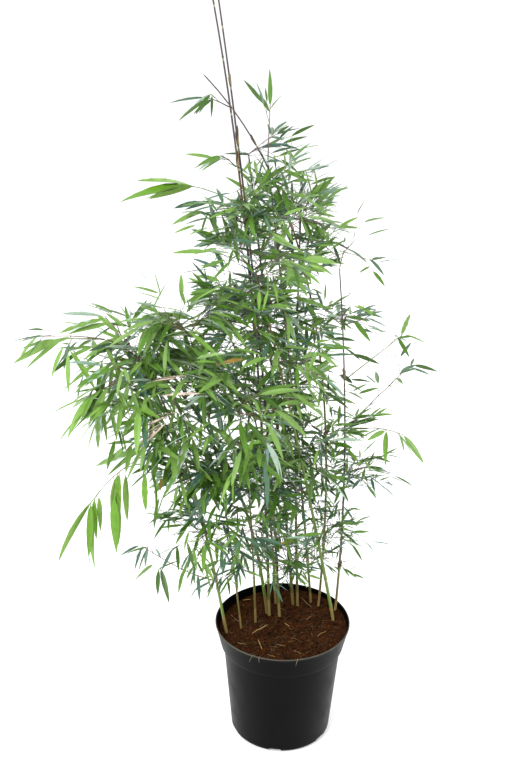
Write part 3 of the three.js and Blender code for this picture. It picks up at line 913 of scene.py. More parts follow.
def blades(leaves, settings):
    """The points of leaves, by leaf, station and corner of the section."""
    root = np.array([leaf["root"] for leaf in leaves])
    turn, pitch, length, roll, width, twist = (
        np.array([leaf[key] for leaf in leaves])[:, None]
        for key in ("turn", "pitch", "length", "roll", "width", "twist"))
    bent = pitch - settings.bend * STATIONS[None] ** BEND_POWER
    way = aim_all(np.broadcast_to(turn, bent.shape), bent)
    steps = np.diff(STATIONS)[None, :, None] * length[..., None] * (way[:, 1:] + way[:, :-1]) / 2
    spine = root[:, None] + np.concatenate([np.zeros_like(steps[:, :1]), np.cumsum(steps, axis=1)], 1)
    side = aim_all(turn + 90, np.zeros_like(turn))
    up = np.cross(way, np.broadcast_to(side, way.shape))
    rolled = np.radians(roll + twist * STATIONS[None])[..., None]
    lateral = side * np.cos(rolled) + up * np.sin(rolled)
    normal = up * np.cos(rolled) - side * np.sin(rolled)
    half = (length * width / 2 * WIDTHS[None])[..., None]
    thick = BLADE_THICKNESS / 2 * np.sqrt(WIDTHS)[None, :, None]
    fold = math.radians(settings.fold)
    out, lift = lateral * half * math.cos(fold), normal * half * math.sin(fold)
    return np.stack([spine + out + lift, spine + normal * thick, spine - out + lift,
                     spine - normal * thick], axis=2)


def blade_faces(count):
    """The faces of count blades, and which of a blade's faces are on its underside."""
    last = len(STATIONS) - 1
    faces, under = [(LEFT, UNDER, RIGHT, TOP)], [0]
    for k in range(last):
        low, high = CORNERS * k, CORNERS * (k + 1)
        for first, second, below in (
                (TOP, LEFT, 0), (RIGHT, TOP, 0), (LEFT, UNDER, 1), (UNDER, RIGHT, 1)):
            faces.append((low + first, high + first, high + second, low + second))
            under.append(below)
    faces.append(tuple(CORNERS * last + corner for corner in (TOP, RIGHT, UNDER, LEFT)))
    under.append(0)
    offsets = np.arange(count)[:, None, None] * CORNERS * (last + 1)
    return (np.array(faces)[None] + offsets).reshape(-1, 4), np.array(under)


def tone_of(draw, light):
    """A tone's number, drawn by its share in that light."""
    drawn, total = draw(), 0
    for i, share in enumerate(TONE_SHARES[light]):
        total += share
        if drawn < total:
            return i
    return TONES.index("fresh")


def share_kept(mass, root):
    """The share of leaves that stay at a place."""
    away = min(np.linalg.norm(root - heart) for heart in HEARTS)
    return 1 if mass["arm"] else np.interp(away, EDGE, (1, EDGE_SHARE))


def leaves_of(order, mass, growth):
    """The leaves of one mass, with their tones dealt out by spray."""
    draw, thin = seeded(TONE_SEED + order), seeded(EDGE_SEED + order)
    wide = BUNDLE_WIDTH if mass["fan"] < 1 else 1
    found = []
    for leaves in [growth["top"]] + [twig["leaves"] for twig in growth["twigs"]]:
        tone = tone_of(draw, mass["light"])
        for i, (root, turn, pitch, length, roll) in enumerate(leaves):
            spear = draw() < SPEAR_CHANCE and not mass["arm"]
            leaf = dict(
                root=root, turn=turn, pitch=pitch + (SPEAR_LIFT if spear else 0), length=length,
                roll=roll, width=wide * within(draw, BLADE_WIDTHS), twist=(draw() - 0.5) * BLADE_TWIST,
                tone=tone)
            if spear:
                leaf["width"] *= SPEAR_WIDTH
            if thin() < share_kept(mass, root) or i == 0:
                found.append(leaf)
    return found


def dry_out(leaves):
    """Dries the leaves nearest to the dry spots. Those that are only husks have shrunk to strips."""
    roots = np.array([leaf["root"] for leaf in leaves])
    for place, count, tone in DRY_SPOTS:
        for i in np.argsort(np.linalg.norm(roots - place, axis=1))[:count]:
            leaves[i]["tone"] = TONES.index(tone)
            if tone == "husk":
                leaves[i]["width"] *= HUSK_WIDTH
                leaves[i]["pitch"] *= HUSK_DROOP
                leaves[i]["turn"] = HUSK_TURNS[0] + leaves[i]["turn"] % HUSK_TURNS[1]


def leaf_piece(name, leaves, nodes, settings, materials):
    """One piece of leaves, which stands for the masses with these nodes.

    Each blade is laid out over its own width and length for the veins, and is creased along its
    edges and its middle.
    """
    for leaf in leaves:
        leaf["width"] *= settings.width_share
    points = blades(leaves, settings)
    kept = clear(points[:, STALK_STATIONS:, TOP])
    points = points[kept]
    tones = np.array([leaf["tone"] for leaf in leaves])[kept]
    faces, under = blade_faces(len(points))
    kinds = (tones[:, None] * 2 + under[None]).ravel()
    piece = mesh_piece(name, points.reshape(-1, 3), faces.tolist(), kinds, materials)
    mesh = piece.data
    across = np.tile([0.0, 0.5, 1.0, 0.5], len(STATIONS))
    along = np.repeat(STATIONS, CORNERS)
    loops = np.zeros(len(mesh.loops), int)
    mesh.loops.foreach_get("vertex_index", loops)
    loops %= CORNERS * len(STATIONS)
    unwrap = mesh.uv_layers.new(name="blade")
    unwrap.data.foreach_set("uv", np.stack([across[loops], along[loops]], 1).ravel())
    edges = np.zeros(2 * len(mesh.edges), int)
    mesh.edges.foreach_get("vertices", edges)
    edges = edges.reshape(-1, 2) % CORNERS
    creased = (edges[:, 0] == edges[:, 1]) & (edges[:, 0] != UNDER)
    sharp = mesh.attributes.new("sharp_edge", "BOOLEAN", "EDGE")
    sharp.data.foreach_set("value", creased)
    mesh.update()
    return on_plant(piece, nodes)


# Settings

def length_property(name, description, metres):
    """A setting that is a length."""
    return FloatProperty(
        name=name, description=description, default=metres, min=0, precision=4,
        unit="LENGTH", subtype="DISTANCE")


def colour_property(name, description, hex_colour):
    """A setting that is a colour."""
    return FloatVectorProperty(
        name=name, description=description, default=linear(hex_colour)[:3], size=3, min=0, max=1,
        subtype="COLOR")


# The upper corner of the pot's box in the frame
POT_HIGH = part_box("pot")[1]


class BambooPotSettings(PropertyGroup):
    """Sizes and colours of the pot."""

    rim: length_property("Rim radius", "Outer radius of the pot's rim", POT_HIGH.x)
    height: length_property("Height", "Height of the pot", POT_HIGH.z)
    sides: IntProperty(name="Sides", description="Faces round the pot", default=144, min=24)
    colour: colour_property("Plastic", "Colour of the moulded plastic", "#040405")
    # Dust also colours the lip's pale finish, which is partly wear and partly a painted highlight
    dust: colour_property("Dust", "Colour of dust and wear on the pot, and of the painted highlight on its lip", "#6B665A")


class BambooSoilSettings(PropertyGroup):
    """Sizes and colours of the soil and what lies on it."""

    lift: length_property("Relief", "How far the soil's lumps rise and fall", 2.6 * MM)
    crumbs: IntProperty(name="Crumbs", description="Loose crumbs on the soil", default=1500, min=0)
    fibres: IntProperty(name="Fibres", description="Loose fibres on the soil", default=200, min=0)
    colour: colour_property("Coir", "Colour of the coir", "#46240A")
    # The colour of peat, also used as the painted shade in the soil's hollows
    dark: colour_property("Peat", "Colour of peat, and of the painted shade in the soil's hollows", "#180B02")
    pale: colour_property("Husk", "Colour of bits of husk", "#5C3A1C")
    straw: colour_property("Straw", "Colour of the straw on the soil", "#B8955A")
    grey: colour_property("Grey straw", "Colour of the straw over the rim", "#7A6E58")


class BambooCaneSettings(PropertyGroup):
    """Sizes and colours of the canes and their sheaths."""

    sides: IntProperty(name="Sides", description="Faces round a cane", default=14, min=5)
    swell: FloatProperty(
        name="Joint swell", description="A joint's radius as a share of the cane's",
        default=RING_SWELL, min=1, max=1.5, subtype="FACTOR")
    straw: colour_property("Foot", "Colour of a cane's foot", BARK_COLOURS["straw"])
    green: colour_property("Young cane", "Colour of young canes", BARK_COLOURS["green"])
    olive: colour_property("Ripe cane", "Colour of ripening canes", BARK_COLOURS["olive"])
    brown: colour_property("Old cane", "Colour of old canes", BARK_COLOURS["brown"])
    purple: colour_property("Upper cane", "Colour of the upper canes", BARK_COLOURS["purple"])
    scar: colour_property("Scar", "Colour of the line round a joint", BARK_COLOURS["scar"])
    bloom: colour_property("Bloom", "Colour of the waxy band under a joint", BARK_COLOURS["bloom"])
    sheath: colour_property("Sheath", "Colour of the papery sheaths", "#9A8868")


class BambooLeafSettings(PropertyGroup):
    """Sizes and colours of the twigs and leaves."""

    width_share: FloatProperty(
        name="Width", description="A leaf's width as a share of its length", default=0.14,
        min=0.05, max=0.5, subtype="FACTOR")
    fold: FloatProperty(
        name="Fold", description="How far each half of a leaf is folded up, in degrees",
        default=13, min=0, max=60)
    bend: FloatProperty(
        name="Bend", description="How far a leaf bends down from root to tip, in degrees",
        default=12, min=0, max=90)
    twig: length_property("Twig radius", "Radius of a twig at its root", 0.75 * MM)
    bright: colour_property("Bright leaf", "Leaves in full light", TONE_COLOURS["bright"][0])
    fresh: colour_property("Fresh leaf", "Young leaves", TONE_COLOURS["fresh"][0])
    mid: colour_property("Mid leaf", "Grown leaves", TONE_COLOURS["mid"][0])
    deep: colour_property("Deep leaf", "Old leaves", TONE_COLOURS["deep"][0])
    dim: colour_property("Dim leaf", "Leaves in the shade", TONE_COLOURS["dim"][0])
    lush: colour_property("Lush leaf", "Leaves of large bright sprays", TONE_COLOURS["lush"][0])
    dry: colour_property("Dry leaf", "Leaves about to fall", TONE_COLOURS["dry"][0])
    husk: colour_property("Husk", "Leaves long dead and bleached", TONE_COLOURS["husk"][0])
    bare_twig: colour_property("Bare twig", "Twigs without green", "#6E5049")
    green_twig: colour_property("Green twig", "Young twigs", "#5C7230")
    dark_twig: colour_property("Dark twig", "Old twigs", "#3C2A2A")


class BambooStageSettings(PropertyGroup):
    """The floor, the light and the camera."""

    floor: colour_property("Floor", "Colour of the floor", "#F7F7F6")
    sky: FloatProperty(
        name="Room light", description="Strength of the room's light", default=1.06, min=0)
    lamps: FloatProperty(name="Lamps", description="Strength of the lamps", default=1.0, min=0)
    lens: FloatProperty(name="Lens", description="Focal length in millimetres", default=55, min=1)


class PottedBambooSettings(PropertyGroup):
    """All that a user can change."""

    pot: PointerProperty(type=BambooPotSettings)
    soil: PointerProperty(type=BambooSoilSettings)
    canes: PointerProperty(type=BambooCaneSettings)
    leaves: PointerProperty(type=BambooLeafSettings)
    stage: PointerProperty(type=BambooStageSettings)


def opaque(colour):
    """A colour setting with full alpha."""
    return (*colour, 1.0)


# Pot

# How dusty its plastic is, how pale and how much of its lip has worn, which also stands for a painted
# highlight where light falls on the lip's rounded top, and the sheen of its collar
DUST_SHARE = 0.02
LIP_WEAR_AND_HIGHLIGHT_SHARE = 0.9
LIP_WEAR_AND_HIGHLIGHT_COLOUR_SHARE = 0.5
LIP_WEAR_AND_HIGHLIGHT_FROM = 0.6
COLLAR_SHINE = 0.045

# The foot ring under its base: how far in from the body it starts and ends, and how deep it is
FOOT_GROOVE = ((30, 0), (28, 0.9), (22, 0.9), (20, 0))

SLOPE = (BODY_TOP - BODY_BASE) / COLLAR_HEIGHT
INNER_WALL = (
    (BODY_BASE - BASE_ROUND, POT_FLOOR),
    (BODY_BASE + SLOPE * BASE_ROUND - POT_WALL, BASE_ROUND),
    (BODY_TOP - POT_WALL, COLLAR_HEIGHT + POT_WALL),
    (COLLAR_FOOT - POT_WALL, COLLAR_HEIGHT + POT_WALL),
    (POT_RIM - RIM_LIP, POT_HEIGHT - RIM_LIP),
)


def pot_profile():
    """The pot's section from under its middle, up its outside and down its inside."""
    lip = RIM_LIP / 2
    base = arc((BODY_BASE - BASE_ROUND, BASE_ROUND), BASE_ROUND, -90, -3, 7)
    ridge = [(BODY_TOP - 0.4, COLLAR_HEIGHT - 5), (BODY_TOP, COLLAR_HEIGHT - 1.2)]
    collar = arc((COLLAR_FOOT - 1.6, COLLAR_HEIGHT + 1.6), 1.6, -90, -12, 4)
    waist = [(COLLAR_FOOT + 1.3, COLLAR_HEIGHT + 7), (COLLAR_FOOT + 4.6, COLLAR_HEIGHT + 21),
             (POT_RIM - 1.9, POT_HEIGHT - RIM_LIP - 3.5), (POT_RIM - 1.1, POT_HEIGHT - RIM_LIP - 0.6)]
    rim = arc((POT_RIM - lip, POT_HEIGHT - lip), lip, -40, 190, 9)
    groove = [(BODY_BASE - inset, depth) for inset, depth in FOOT_GROOVE]
    return [(0, 0), *groove, *base, *ridge, (BODY_TOP + 0.5, COLLAR_HEIGHT), *collar, *waist, *rim,
            *reversed(INNER_WALL), (0, POT_FLOOR)]


def apply_modifiers(piece):
    """Applies a piece's modifiers to its mesh."""
    bpy.context.view_layer.update()
    graph = bpy.context.evaluated_depsgraph_get()
    done = bpy.data.meshes.new_from_object(piece.evaluated_get(graph))
    piece.modifiers.clear()
    piece.data = done


def drain_cutters():
    """Wedges round the pot's foot that cut its drain slots."""
    cutters = Gathered()
    faces = [(0, 2, 3, 1), (4, 5, 7, 6), (0, 1, 5, 4), (2, 6, 7, 3), (0, 4, 6, 2), (1, 3, 7, 5)]
    for i in range(DRAIN_SLOTS):
        turn = DRAIN_TURN + 360 * i / DRAIN_SLOTS
        out, aside = aim(turn, 0), aim(turn + 90, 0)
        corners = []
        for up in (-0.2, 1):
            half = DRAIN_WIDTH / 2 - abs(up) * DRAIN_NARROWING
            corners += [
                out * (BODY_BASE + a * DRAIN_DEPTH) + aside * b * half + UP * (up * DRAIN_HEIGHT - 1)
                for b in (-1, 1) for a in (-1, 1)]
        cutters.add(corners, faces)
    return cutters


class BAMBOO_OT_pot(Operator):
    """Adds the moulded nursery pot with its drain slots"""

    bl_idname = "bamboo.pot"
    bl_label = "Pot"

    def execute(self, context):
        settings = context.scene.potted_bamboo.pot
        colour, dust = opaque(settings.colour), opaque(settings.dust)
        plastic = moulded_polypropylene("moulded black polypropylene", colour, dust, DUST_SHARE)
        # The lip's pale finish is partly wear and partly a painted highlight, where light falls on its
        # rounded top
        worn = moulded_polypropylene(
            "moulded black polypropylene worn pale at the lip",
            scaled(settings.dust, LIP_WEAR_AND_HIGHLIGHT_COLOUR_SHARE), dust, LIP_WEAR_AND_HIGHLIGHT_SHARE)
        collar = moulded_polypropylene(
            "moulded black polypropylene of the collar", colour, dust, DUST_SHARE, COLLAR_SHINE)
        wide, tall = settings.rim / (POT_RIM * MM), settings.height / (POT_HEIGHT * MM)
        points, faces = lathe([(r * wide, z * tall) for r, z in pot_profile()], settings.sides)
        kinds = self.finishes(np.array(points), faces)
        piece = mesh_piece("nursery_pot", points, faces, kinds, [plastic, worn, collar])
        cutter = drain_cutters().piece("drain_cutter", [plastic])
        cut = piece.modifiers.new("drain", "BOOLEAN")
        cut.operation, cut.object, cut.solver = "DIFFERENCE", cutter, "EXACT"
        apply_modifiers(piece)
        bpy.data.objects.remove(cutter)
        piece.data.shade_smooth()
        piece.data.set_sharp_from_angle(angle=math.radians(38))
        on_plant(piece, ["pot"])
        return {"FINISHED"}

    def finishes(self, points, faces):
        """The material of each face: plain on the body, worn pale with a painted highlight at the lip,
        satin on the collar.
        """
        heights, radii = points[:, 2], np.hypot(points[:, 0], points[:, 1])
        kinds = []
        for face in faces:
            low, near = heights[list(face)].min(), radii[list(face)].min()
            # Faces on the top of the lip take the pale finish of wear and painted highlight
            lip = low > POT_HEIGHT - RIM_LIP * LIP_WEAR_AND_HIGHLIGHT_FROM and near > POT_RIM - RIM_LIP * LIP_WEAR_AND_HIGHLIGHT_FROM
            kinds.append(1 if lip else (2 if low > COLLAR_HEIGHT else 0))
        return kinds


# Soil

SOIL_RINGS = 46
SOIL_SPOKES = 132
SOIL_EDGE = 120
SOIL_FADE = 10
WALL_GAP = 1.5

# The lumps and the fine crumble of its top: how far across, and how high as a share of the relief.
# Finer lumps are flatter by a power and smaller by a ratio, down to a number of sizes, and the
# crumble is cut from a slice of noise of its own
LUMPS = (16, 0.8)
LUMP_SIZES = (0.9, 2.1, 4)
CRUMBLE = (4.5, 0.5)
CRUMBLE_SLICE = 7.0

# What lies on it: where, the least size and how much larger the largest is, and how each kind of
# crumb is coloured, as a share of a soil colour
SCATTER_SEED = 31
CRUMB_REACH = 119
CRUMB_SIZES = (0.8, 2.2)
CRUMB_COLOURS = (("peat", "dark", 1.5), ("coir", "colour", 1.35), ("husk", "pale", 0.75))
FIBRE_REACH = 112
FIBRE_LENGTHS = (5, 15)
FIBRE_RADII = (0.25, 0.25)
FIBRE_CURL = 90
FIBRE_LIFT = 0.5
FIBRE_TAPER = (0.5, 1, 1, 0.9, 0.4)
FIBRE_SIDES = 4

# A crumb's breadth and height as shares of its length, how high its middle stands as a share of its
# size, and how dark the painted shade in its hollows is. Crumbs are dealt evenly to the soil's own coir
# and the kinds above, and the last kind also gets what is over
CRUMB_BREADTHS = (0.55, 0.95)
CRUMB_HEIGHTS = (0.5, 0.9)
CRUMB_RISE = 0.25
CRUMB_HOLLOW_SHADE = 0.5
CRUMB_DEAL = 4.4
FIBRE_COLOURS = (("pale", 0.36), ("red", 0.2), ("dark", 0.1))


def wall_radius(height):
    """The inner radius of the pot at a height."""
    radii, heights = zip(*INNER_WALL)
    return float(np.interp(height, heights, radii))


def bank(x, y):
    """How far the soil is heaped up towards the back wall of the pot."""
    radius = math.hypot(x, y)
    rise = float(np.interp(radius, BANK_RADII, (0, 1)))
    return BANK_HEIGHT * rise * rise * (3 - 2 * rise) * max(0.0, y) / max(radius, 1)


def soil_top(x, y, lift):
    """The height of the soil with its lumps, which fade out at the wall."""
    fade = min(1.0, max(0.0, (SOIL_EDGE - math.hypot(x, y)) / SOIL_FADE))
    lumps = noise.fractal(Vector((x / LUMPS[0], y / LUMPS[0], 0.0)), *LUMP_SIZES)
    fine = noise.noise(Vector((x / CRUMBLE[0], y / CRUMBLE[0], CRUMBLE_SLICE)))
    rise = (lumps * LUMPS[1] + fine * CRUMBLE[1]) * lift * fade
    return soil_height(x, y) + bank(x, y) + rise


def scattered(draw, count, reach):
    """Places spread evenly over a disc."""
    for _ in range(count):
        radius, angle = reach * math.sqrt(draw()), 2 * math.pi * draw()
        yield radius * math.cos(angle), radius * math.sin(angle)


def icosahedron():
    """The corners of a regular body of twenty faces, at a distance of 1, and its faces."""
    golden = (1 + 5 ** 0.5) / 2
    corners = []
    for a in (-1, 1):
        for b in (-golden, golden):
            corners += [(0, a, b), (a, b, 0), (b, 0, a)]
    corners = np.array(corners) / math.hypot(1, golden)
    faces = []
    for i in range(12):
        for j in range(i + 1, 12):
            for k in range(j + 1, 12):
                trio = corners[[i, j, k]]
                sides = [np.linalg.norm(trio[a] - trio[a - 1]) for a in range(3)]
                if max(sides) < 1.1:
                    outward = np.dot(np.cross(trio[1] - trio[0], trio[2] - trio[0]), trio[0]) > 0
                    faces.append((i, j, k) if outward else (i, k, j))
    return corners, faces


class BAMBOO_OT_soil(Operator):
    """Adds the coir that fills the pot, and the crumbs and fibres on it"""

    bl_idname = "bamboo.soil"
    bl_label = "Soil"

    def execute(self, context):
        settings = context.scene.potted_bamboo.soil
        lift, pale = settings.lift / MM, opaque(settings.pale)
        colour, dark = opaque(settings.colour), opaque(settings.dark)
        coir = moist_coir("shredded coir and peat", colour, dark, pale)
        self.fill(lift, coir)
        draw = seeded(SCATTER_SEED)
        self.crumbs(draw, lift, coir, settings)
        self.fibres(draw, lift, settings)
        return {"FINISHED"}

    def crumbs(self, draw, lift, coir, settings):
        """Loose crumbs, flattened and turned at random."""
        kinds = [coir]
        for what, key, share in CRUMB_COLOURS:
            shade = getattr(settings, key)
            # Each kind of crumb gets painted shade in its hollows, a share of its own colour
            kinds.append(moist_coir(
                "crumb of " + what, scaled(shade, share), scaled(shade, share * CRUMB_HOLLOW_SHADE),
                opaque(settings.pale)))
        crumbs = Gathered()
        corners, faces = icosahedron()
        for x, y in scattered(draw, settings.crumbs, CRUMB_REACH):
            size = CRUMB_SIZES[0] + CRUMB_SIZES[1] * draw() ** 2
            axis = Vector((draw() - 0.5, draw() - 0.5, draw() - 0.4))
            spin = Matrix.Rotation(2 * math.pi * draw(), 3, axis)
            shape = [1, within(draw, CRUMB_BREADTHS), within(draw, CRUMB_HEIGHTS)]
            lump = (corners * shape) @ np.array(spin) * size
            kind = min(len(CRUMB_COLOURS), int(CRUMB_DEAL * draw()))
            crumbs.add(lump + [x, y, soil_top(x, y, lift) + size * CRUMB_RISE], faces, kind)
        on_plant(crumbs.piece("soil_crumbs", kinds, crease=40), ["soil"])

    def fibres(self, draw, lift, settings):
        """Short curled fibres that follow the soil."""
        kinds = [papery_husk("coconut fibre, " + what, scaled(settings.straw, share))
                 for what, share in FIBRE_COLOURS]
        fibres, steps = Gathered(), len(FIBRE_TAPER) - 1
        for x, y in scattered(draw, settings.fibres, FIBRE_REACH):
            length = FIBRE_LENGTHS[0] + FIBRE_LENGTHS[1] * draw() ** 2
            turn, curl = 360 * draw(), FIBRE_CURL * (draw() - 0.5)
            path = [np.array([x, y, 0.0])]
            for i in range(steps):
                path.append(path[-1] + aim(turn + curl * i / (steps - 1), 0) * length / steps)
            for i, point in enumerate(path):
                rise = FIBRE_LIFT + (i % 3) * FIBRE_LIFT * draw()
                point[2] = soil_top(point[0], point[1], lift) + rise
            if max(math.hypot(*point[:2]) for point in path) > CRUMB_REACH:
                continue
            radius = FIBRE_RADII[0] + FIBRE_RADII[1] * draw()
            radii = [radius * share for share in FIBRE_TAPER]
            kind = int(len(kinds) * draw())
            fibres.add(*tube(path, radii, FIBRE_SIDES, UP + 0.1), kind)
        on_plant(fibres.piece("soil_fibres", kinds), ["soil"])

    def fill(self, lift, coir):
        """The body of the soil, clear of the pot all round."""
        gap = SEAT * WALL_GAP
        angles = [2 * math.pi * j / SOIL_SPOKES for j in range(SOIL_SPOKES)]
        points, rings, faces = [(0, 0, soil_top(0, 0, lift))], [[0] * SOIL_SPOKES], []

        def ring(place):
            rings.append(list(range(len(points), len(points) + SOIL_SPOKES)))
            points.extend(place(angle) for angle in angles)

        for i in range(1, SOIL_RINGS + 1):
            def on_top(angle, share=i / SOIL_RINGS):
                x, y = math.cos(angle), math.sin(angle)
                at_wall = (SOIL_EDGE * x, SOIL_EDGE * y)
                edge = wall_radius(soil_height(*at_wall) + bank(*at_wall)) - gap
                x, y = x * edge * share, y * edge * share
                return x, y, soil_top(x, y, lift)
            ring(on_top)
        shoulder = (BODY_TOP, COLLAR_HEIGHT + POT_WALL + SEAT)
        for radius, height in (shoulder, *reversed(INNER_WALL[:3])):
            edge = min(radius, wall_radius(height)) - gap
            ring(lambda angle, r=edge, z=height + SEAT: (r * math.cos(angle), r * math.sin(angle), z))
        rings.append([len(points)] * SOIL_SPOKES)
        points.append((0, 0, POT_FLOOR + SEAT))
        for inner, outer in zip(rings, rings[1:]):
            for j in range(SOIL_SPOKES):
                k = (j + 1) % SOIL_SPOKES
                faces.append(tuple(dict.fromkeys((inner[j], outer[j], outer[k], inner[k]))))
        piece = mesh_piece("coir_soil", points, faces, None, [coir], crease=60)
        on_plant(piece, ["soil"])


class BAMBOO_OT_straw(Operator):
    """Adds the bits of straw on the soil and over the rim"""

    bl_idname = "bamboo.straw"
    bl_label = "Straw"

    def execute(self, context):
        settings = context.scene.potted_bamboo.soil
        lift = settings.lift / MM
        dry = papery_husk("dry leaf straw", opaque(settings.straw))
        dull = papery_husk("weathered leaf straw", scaled(settings.straw, DULL_STRAW))
        grey = papery_husk("leaf straw gone grey", opaque(settings.grey))
        straws = Gathered()
        for i, (start, end, width) in enumerate(STRAWS):
            shares = np.linspace(0, 1, STRAW_POINTS)
            path = [np.array([*(np.array(start) * (1 - s) + np.array(end) * s), 0.0]) for s in shares]
            for s, point in zip(shares, path):
                point[2] = soil_top(point[0], point[1], lift) + STRAW_LIFT + STRAW_BOW * s * (1 - s)
            self.strip(straws, path, width, i % 2)
        for turn, length, width, share in RIM_STRAWS:
            out, lean = aim(turn, 0), aim(turn + 90, 0) * length * share / (len(OVER_RIM) - 1)
            path = [out * (POT_RIM + away) + UP * (POT_HEIGHT + up - length * hung) + lean * k
                    for k, (away, up, hung) in enumerate(OVER_RIM)]
            self.strip(straws, path, width, 2)
        on_plant(straws.piece("straw_litter", [dry, dull, grey]), ["soil"])
        return {"FINISHED"}

    def strip(self, straws, path, width, kind):
        """A thin strip along a path, folded a little along its middle."""
        last = len(path) - 1
        points, faces = [], []
        for i, point in enumerate(path):
            along = unit(path[min(last, i + 1)] - path[max(0, i - 1)])
            side = np.cross(along, UP + 0.01)
            bulge = math.sin(math.pi * (i + STRAW_PAST) / (last + 2 * STRAW_PAST))
            side = unit(side) * width / 2 * (STRAW_END + (1 - STRAW_END) * bulge)
            up = np.cross(unit(side), along) * STRAW_THICKNESS
            points += [point + side, point + up, point - side, point - up]
        for i in range(last):
            low, high = 4 * i, 4 * i + 4
            for a in range(4):
                b = (a + 1) % 4
                faces.append((low + a, high + a, high + b, low + b))
        faces += [(0, 1, 2, 3), tuple(4 * last + a for a in (3, 2, 1, 0))]
        straws.add(points, faces, kind)


# Canes

# Rings round a joint: how far from it along the cane, the radius as a share of the cane's, and
# the material of the stretch above, where it isn't the cane's own
JOINT_RINGS = (
    (-7, 1.0, "bloom"), (-2.2, 1.02, None), (-1.1, 1.12, "scar"), (-0.2, 1.0, None),
    (0.8, None, None), (2.4, 1.03, None), (6, 1.0, None))

# The same at the foot, measured from it, halfway between joints and at the tip, measured from it
FOOT_RINGS = ((-4, 1.02, "straw"), (4, 1.0, "straw"), (30, 1.0, None))
WAIST = 0.98
TIP_RINGS = ((-12, 1.0), (-1, 0.55), (0, 0.12))

# How early each of a cane's colours starts, as a share of its stretch
COLOUR_EARLY = 0.4

# Dry sheaths: their share of the lower joints, how far above a joint they start, how loose they are
# at their feet, the share of the cane that they take its direction from, their lengths, how far they
# stand off at their ends, how many degrees they wrap each way at the foot and at the point, and how
# fast they narrow
SHEATH_SEED = 700
SHEATH_CHANCE = 0.4
SHEATH_START = 1.5
SHEATH_LOOSE = 0.2
SHEATH_AHEAD = 0.02
SHEATH_LENGTHS = (18, 40)
SHEATH_FLARES = (0.5, 3)
SHEATH_WRAP = 150
SHEATH_POINT = 8
SHEATH_NARROWING = 1.6
SHEATH_THICKNESS = 0.22
SHEATH_ROWS = 6
SHEATH_COLUMNS = 9


class BAMBOO_OT_canes(Operator):
    """Adds the culms with their joints and papery sheaths"""

    bl_idname = "bamboo.canes"
    bl_label = "Canes"

    def execute(self, context):
        settings = context.scene.potted_bamboo.canes
        canes = Gathered()
        for name in CULMS:
            self.cane(canes, name, settings)
        materials = [living_cane(f"living bamboo cane, {kind}", opaque(getattr(settings, kind)))
                     for kind in BARK_KINDS]
        piece = canes.piece("bamboo_canes", materials, crease=50)
        on_plant(piece, [f"culm_{name}" for name in CULMS])
        sheaths = Gathered()
        for order, name in enumerate(CULMS):
            self.sheaths(sheaths, name, seeded(SHEATH_SEED + order))
        husks = [papery_husk("papery culm sheath", opaque(settings.sheath)),
                 papery_husk("papery culm sheath, weathered", scaled(settings.sheath, DULL_SHEATH))]
        piece = sheaths.piece("culm_sheaths", husks, crease=50)
        on_plant(piece, [f"culm_{name}" for name in CULMS])
        return {"FINISHED"}

    def cane(self, canes, name, settings):
        """One cane, coloured from foot to tip, with a ridge and a scar at each joint."""
        joints, length = joint_count(name), culm_length(name)
        colours = BARKS[CULMS[name]["bark"]]
        rings = [(offset / length, swell, kind) for offset, swell, kind in FOOT_RINGS]
        for joint in range(1, joints):
            for offset, swell, kind in JOINT_RINGS:
                rings.append((joint / joints + offset / length, swell or settings.swell, kind))
            rings.append(((joint + 0.5) / joints, WAIST, None))
        rings += [(1 + offset / length, swell, None) for offset, swell in TIP_RINGS]
        points, radii, kinds = [], [], [0]
        for share, swell, kind in rings:
            points.append(culm_point(name, share))
            radii.append(culm_radius(name, max(0, share)) * swell)
            stretch = int(share * len(colours) + COLOUR_EARLY)
            own = colours[min(len(colours) - 1, max(0, stretch))]
            kinds += [BARK_KINDS.index(kind or own)] * settings.sides
        kinds = kinds[:1 + settings.sides * (len(rings) - 1)] + [kinds[-1]]
        canes.add(*tube(points, radii, settings.sides), kinds)

    def sheaths(self, sheaths, name, draw):
        """Sheaths that still clasp some of a cane's lower joints."""
        joints, length = joint_count(name), culm_length(name)
        for joint in range(1, joints - 1):
            if draw() > SHEATH_CHANCE:
                continue
            start = joint / joints + SHEATH_START / length
            long = within(draw, SHEATH_LENGTHS)
            foot = culm_point(name, start)
            along = unit(culm_point(name, start + SHEATH_AHEAD) - foot)
            radius = culm_radius(name, start) * RING_SWELL + SHEATH_LOOSE
            turn, flare, kind = 360 * draw(), within(draw, SHEATH_FLARES), int(2 * draw())
            self.sheath(sheaths, foot, along, radius, long, turn, flare, kind)

    def sheath(self, sheaths, foot, along, radius, long, turn, flare, kind):
        """A thin shell rolled round a cane, open down one side and drawn out to a point."""
        rows, columns = SHEATH_ROWS, SHEATH_COLUMNS
        first = unit(np.array([1.0, 0, 0]) - along * along[0])
        second = np.cross(along, first)
        points = []
        for layer in (SHEATH_THICKNESS, 0):
            for i in range(rows):
                share = i / (rows - 1)
                wide = SHEATH_WRAP * (1 - share ** SHEATH_NARROWING) + SHEATH_POINT
                for j in range(columns):
                    angle = math.radians(turn + wide * (2 * j / (columns - 1) - 1))
                    away = radius + layer + flare * share ** 2
                    points.append(
                        foot + along * long * share
                        + (first * math.cos(angle) + second * math.sin(angle)) * away)
        inner = rows * columns
        faces = []
        for i in range(rows - 1):
            for j in range(columns - 1):
                a, b = i * columns + j, (i + 1) * columns + j
                faces.append((a, a + 1, b + 1, b))
                faces.append((inner + a, inner + b, inner + b + 1, inner + a + 1))
        rim = (list(range(columns))
               + [i * columns + columns - 1 for i in range(1, rows)]
               + [(rows - 1) * columns + j for j in range(columns - 2, -1, -1)]
               + [i * columns for i in range(rows - 2, 0, -1)])
        for a, b in zip(rim, rim[1:] + rim[:1]):
            faces.append((b, a, inner + a, inner + b))
        sheaths.add(points, faces, kind)


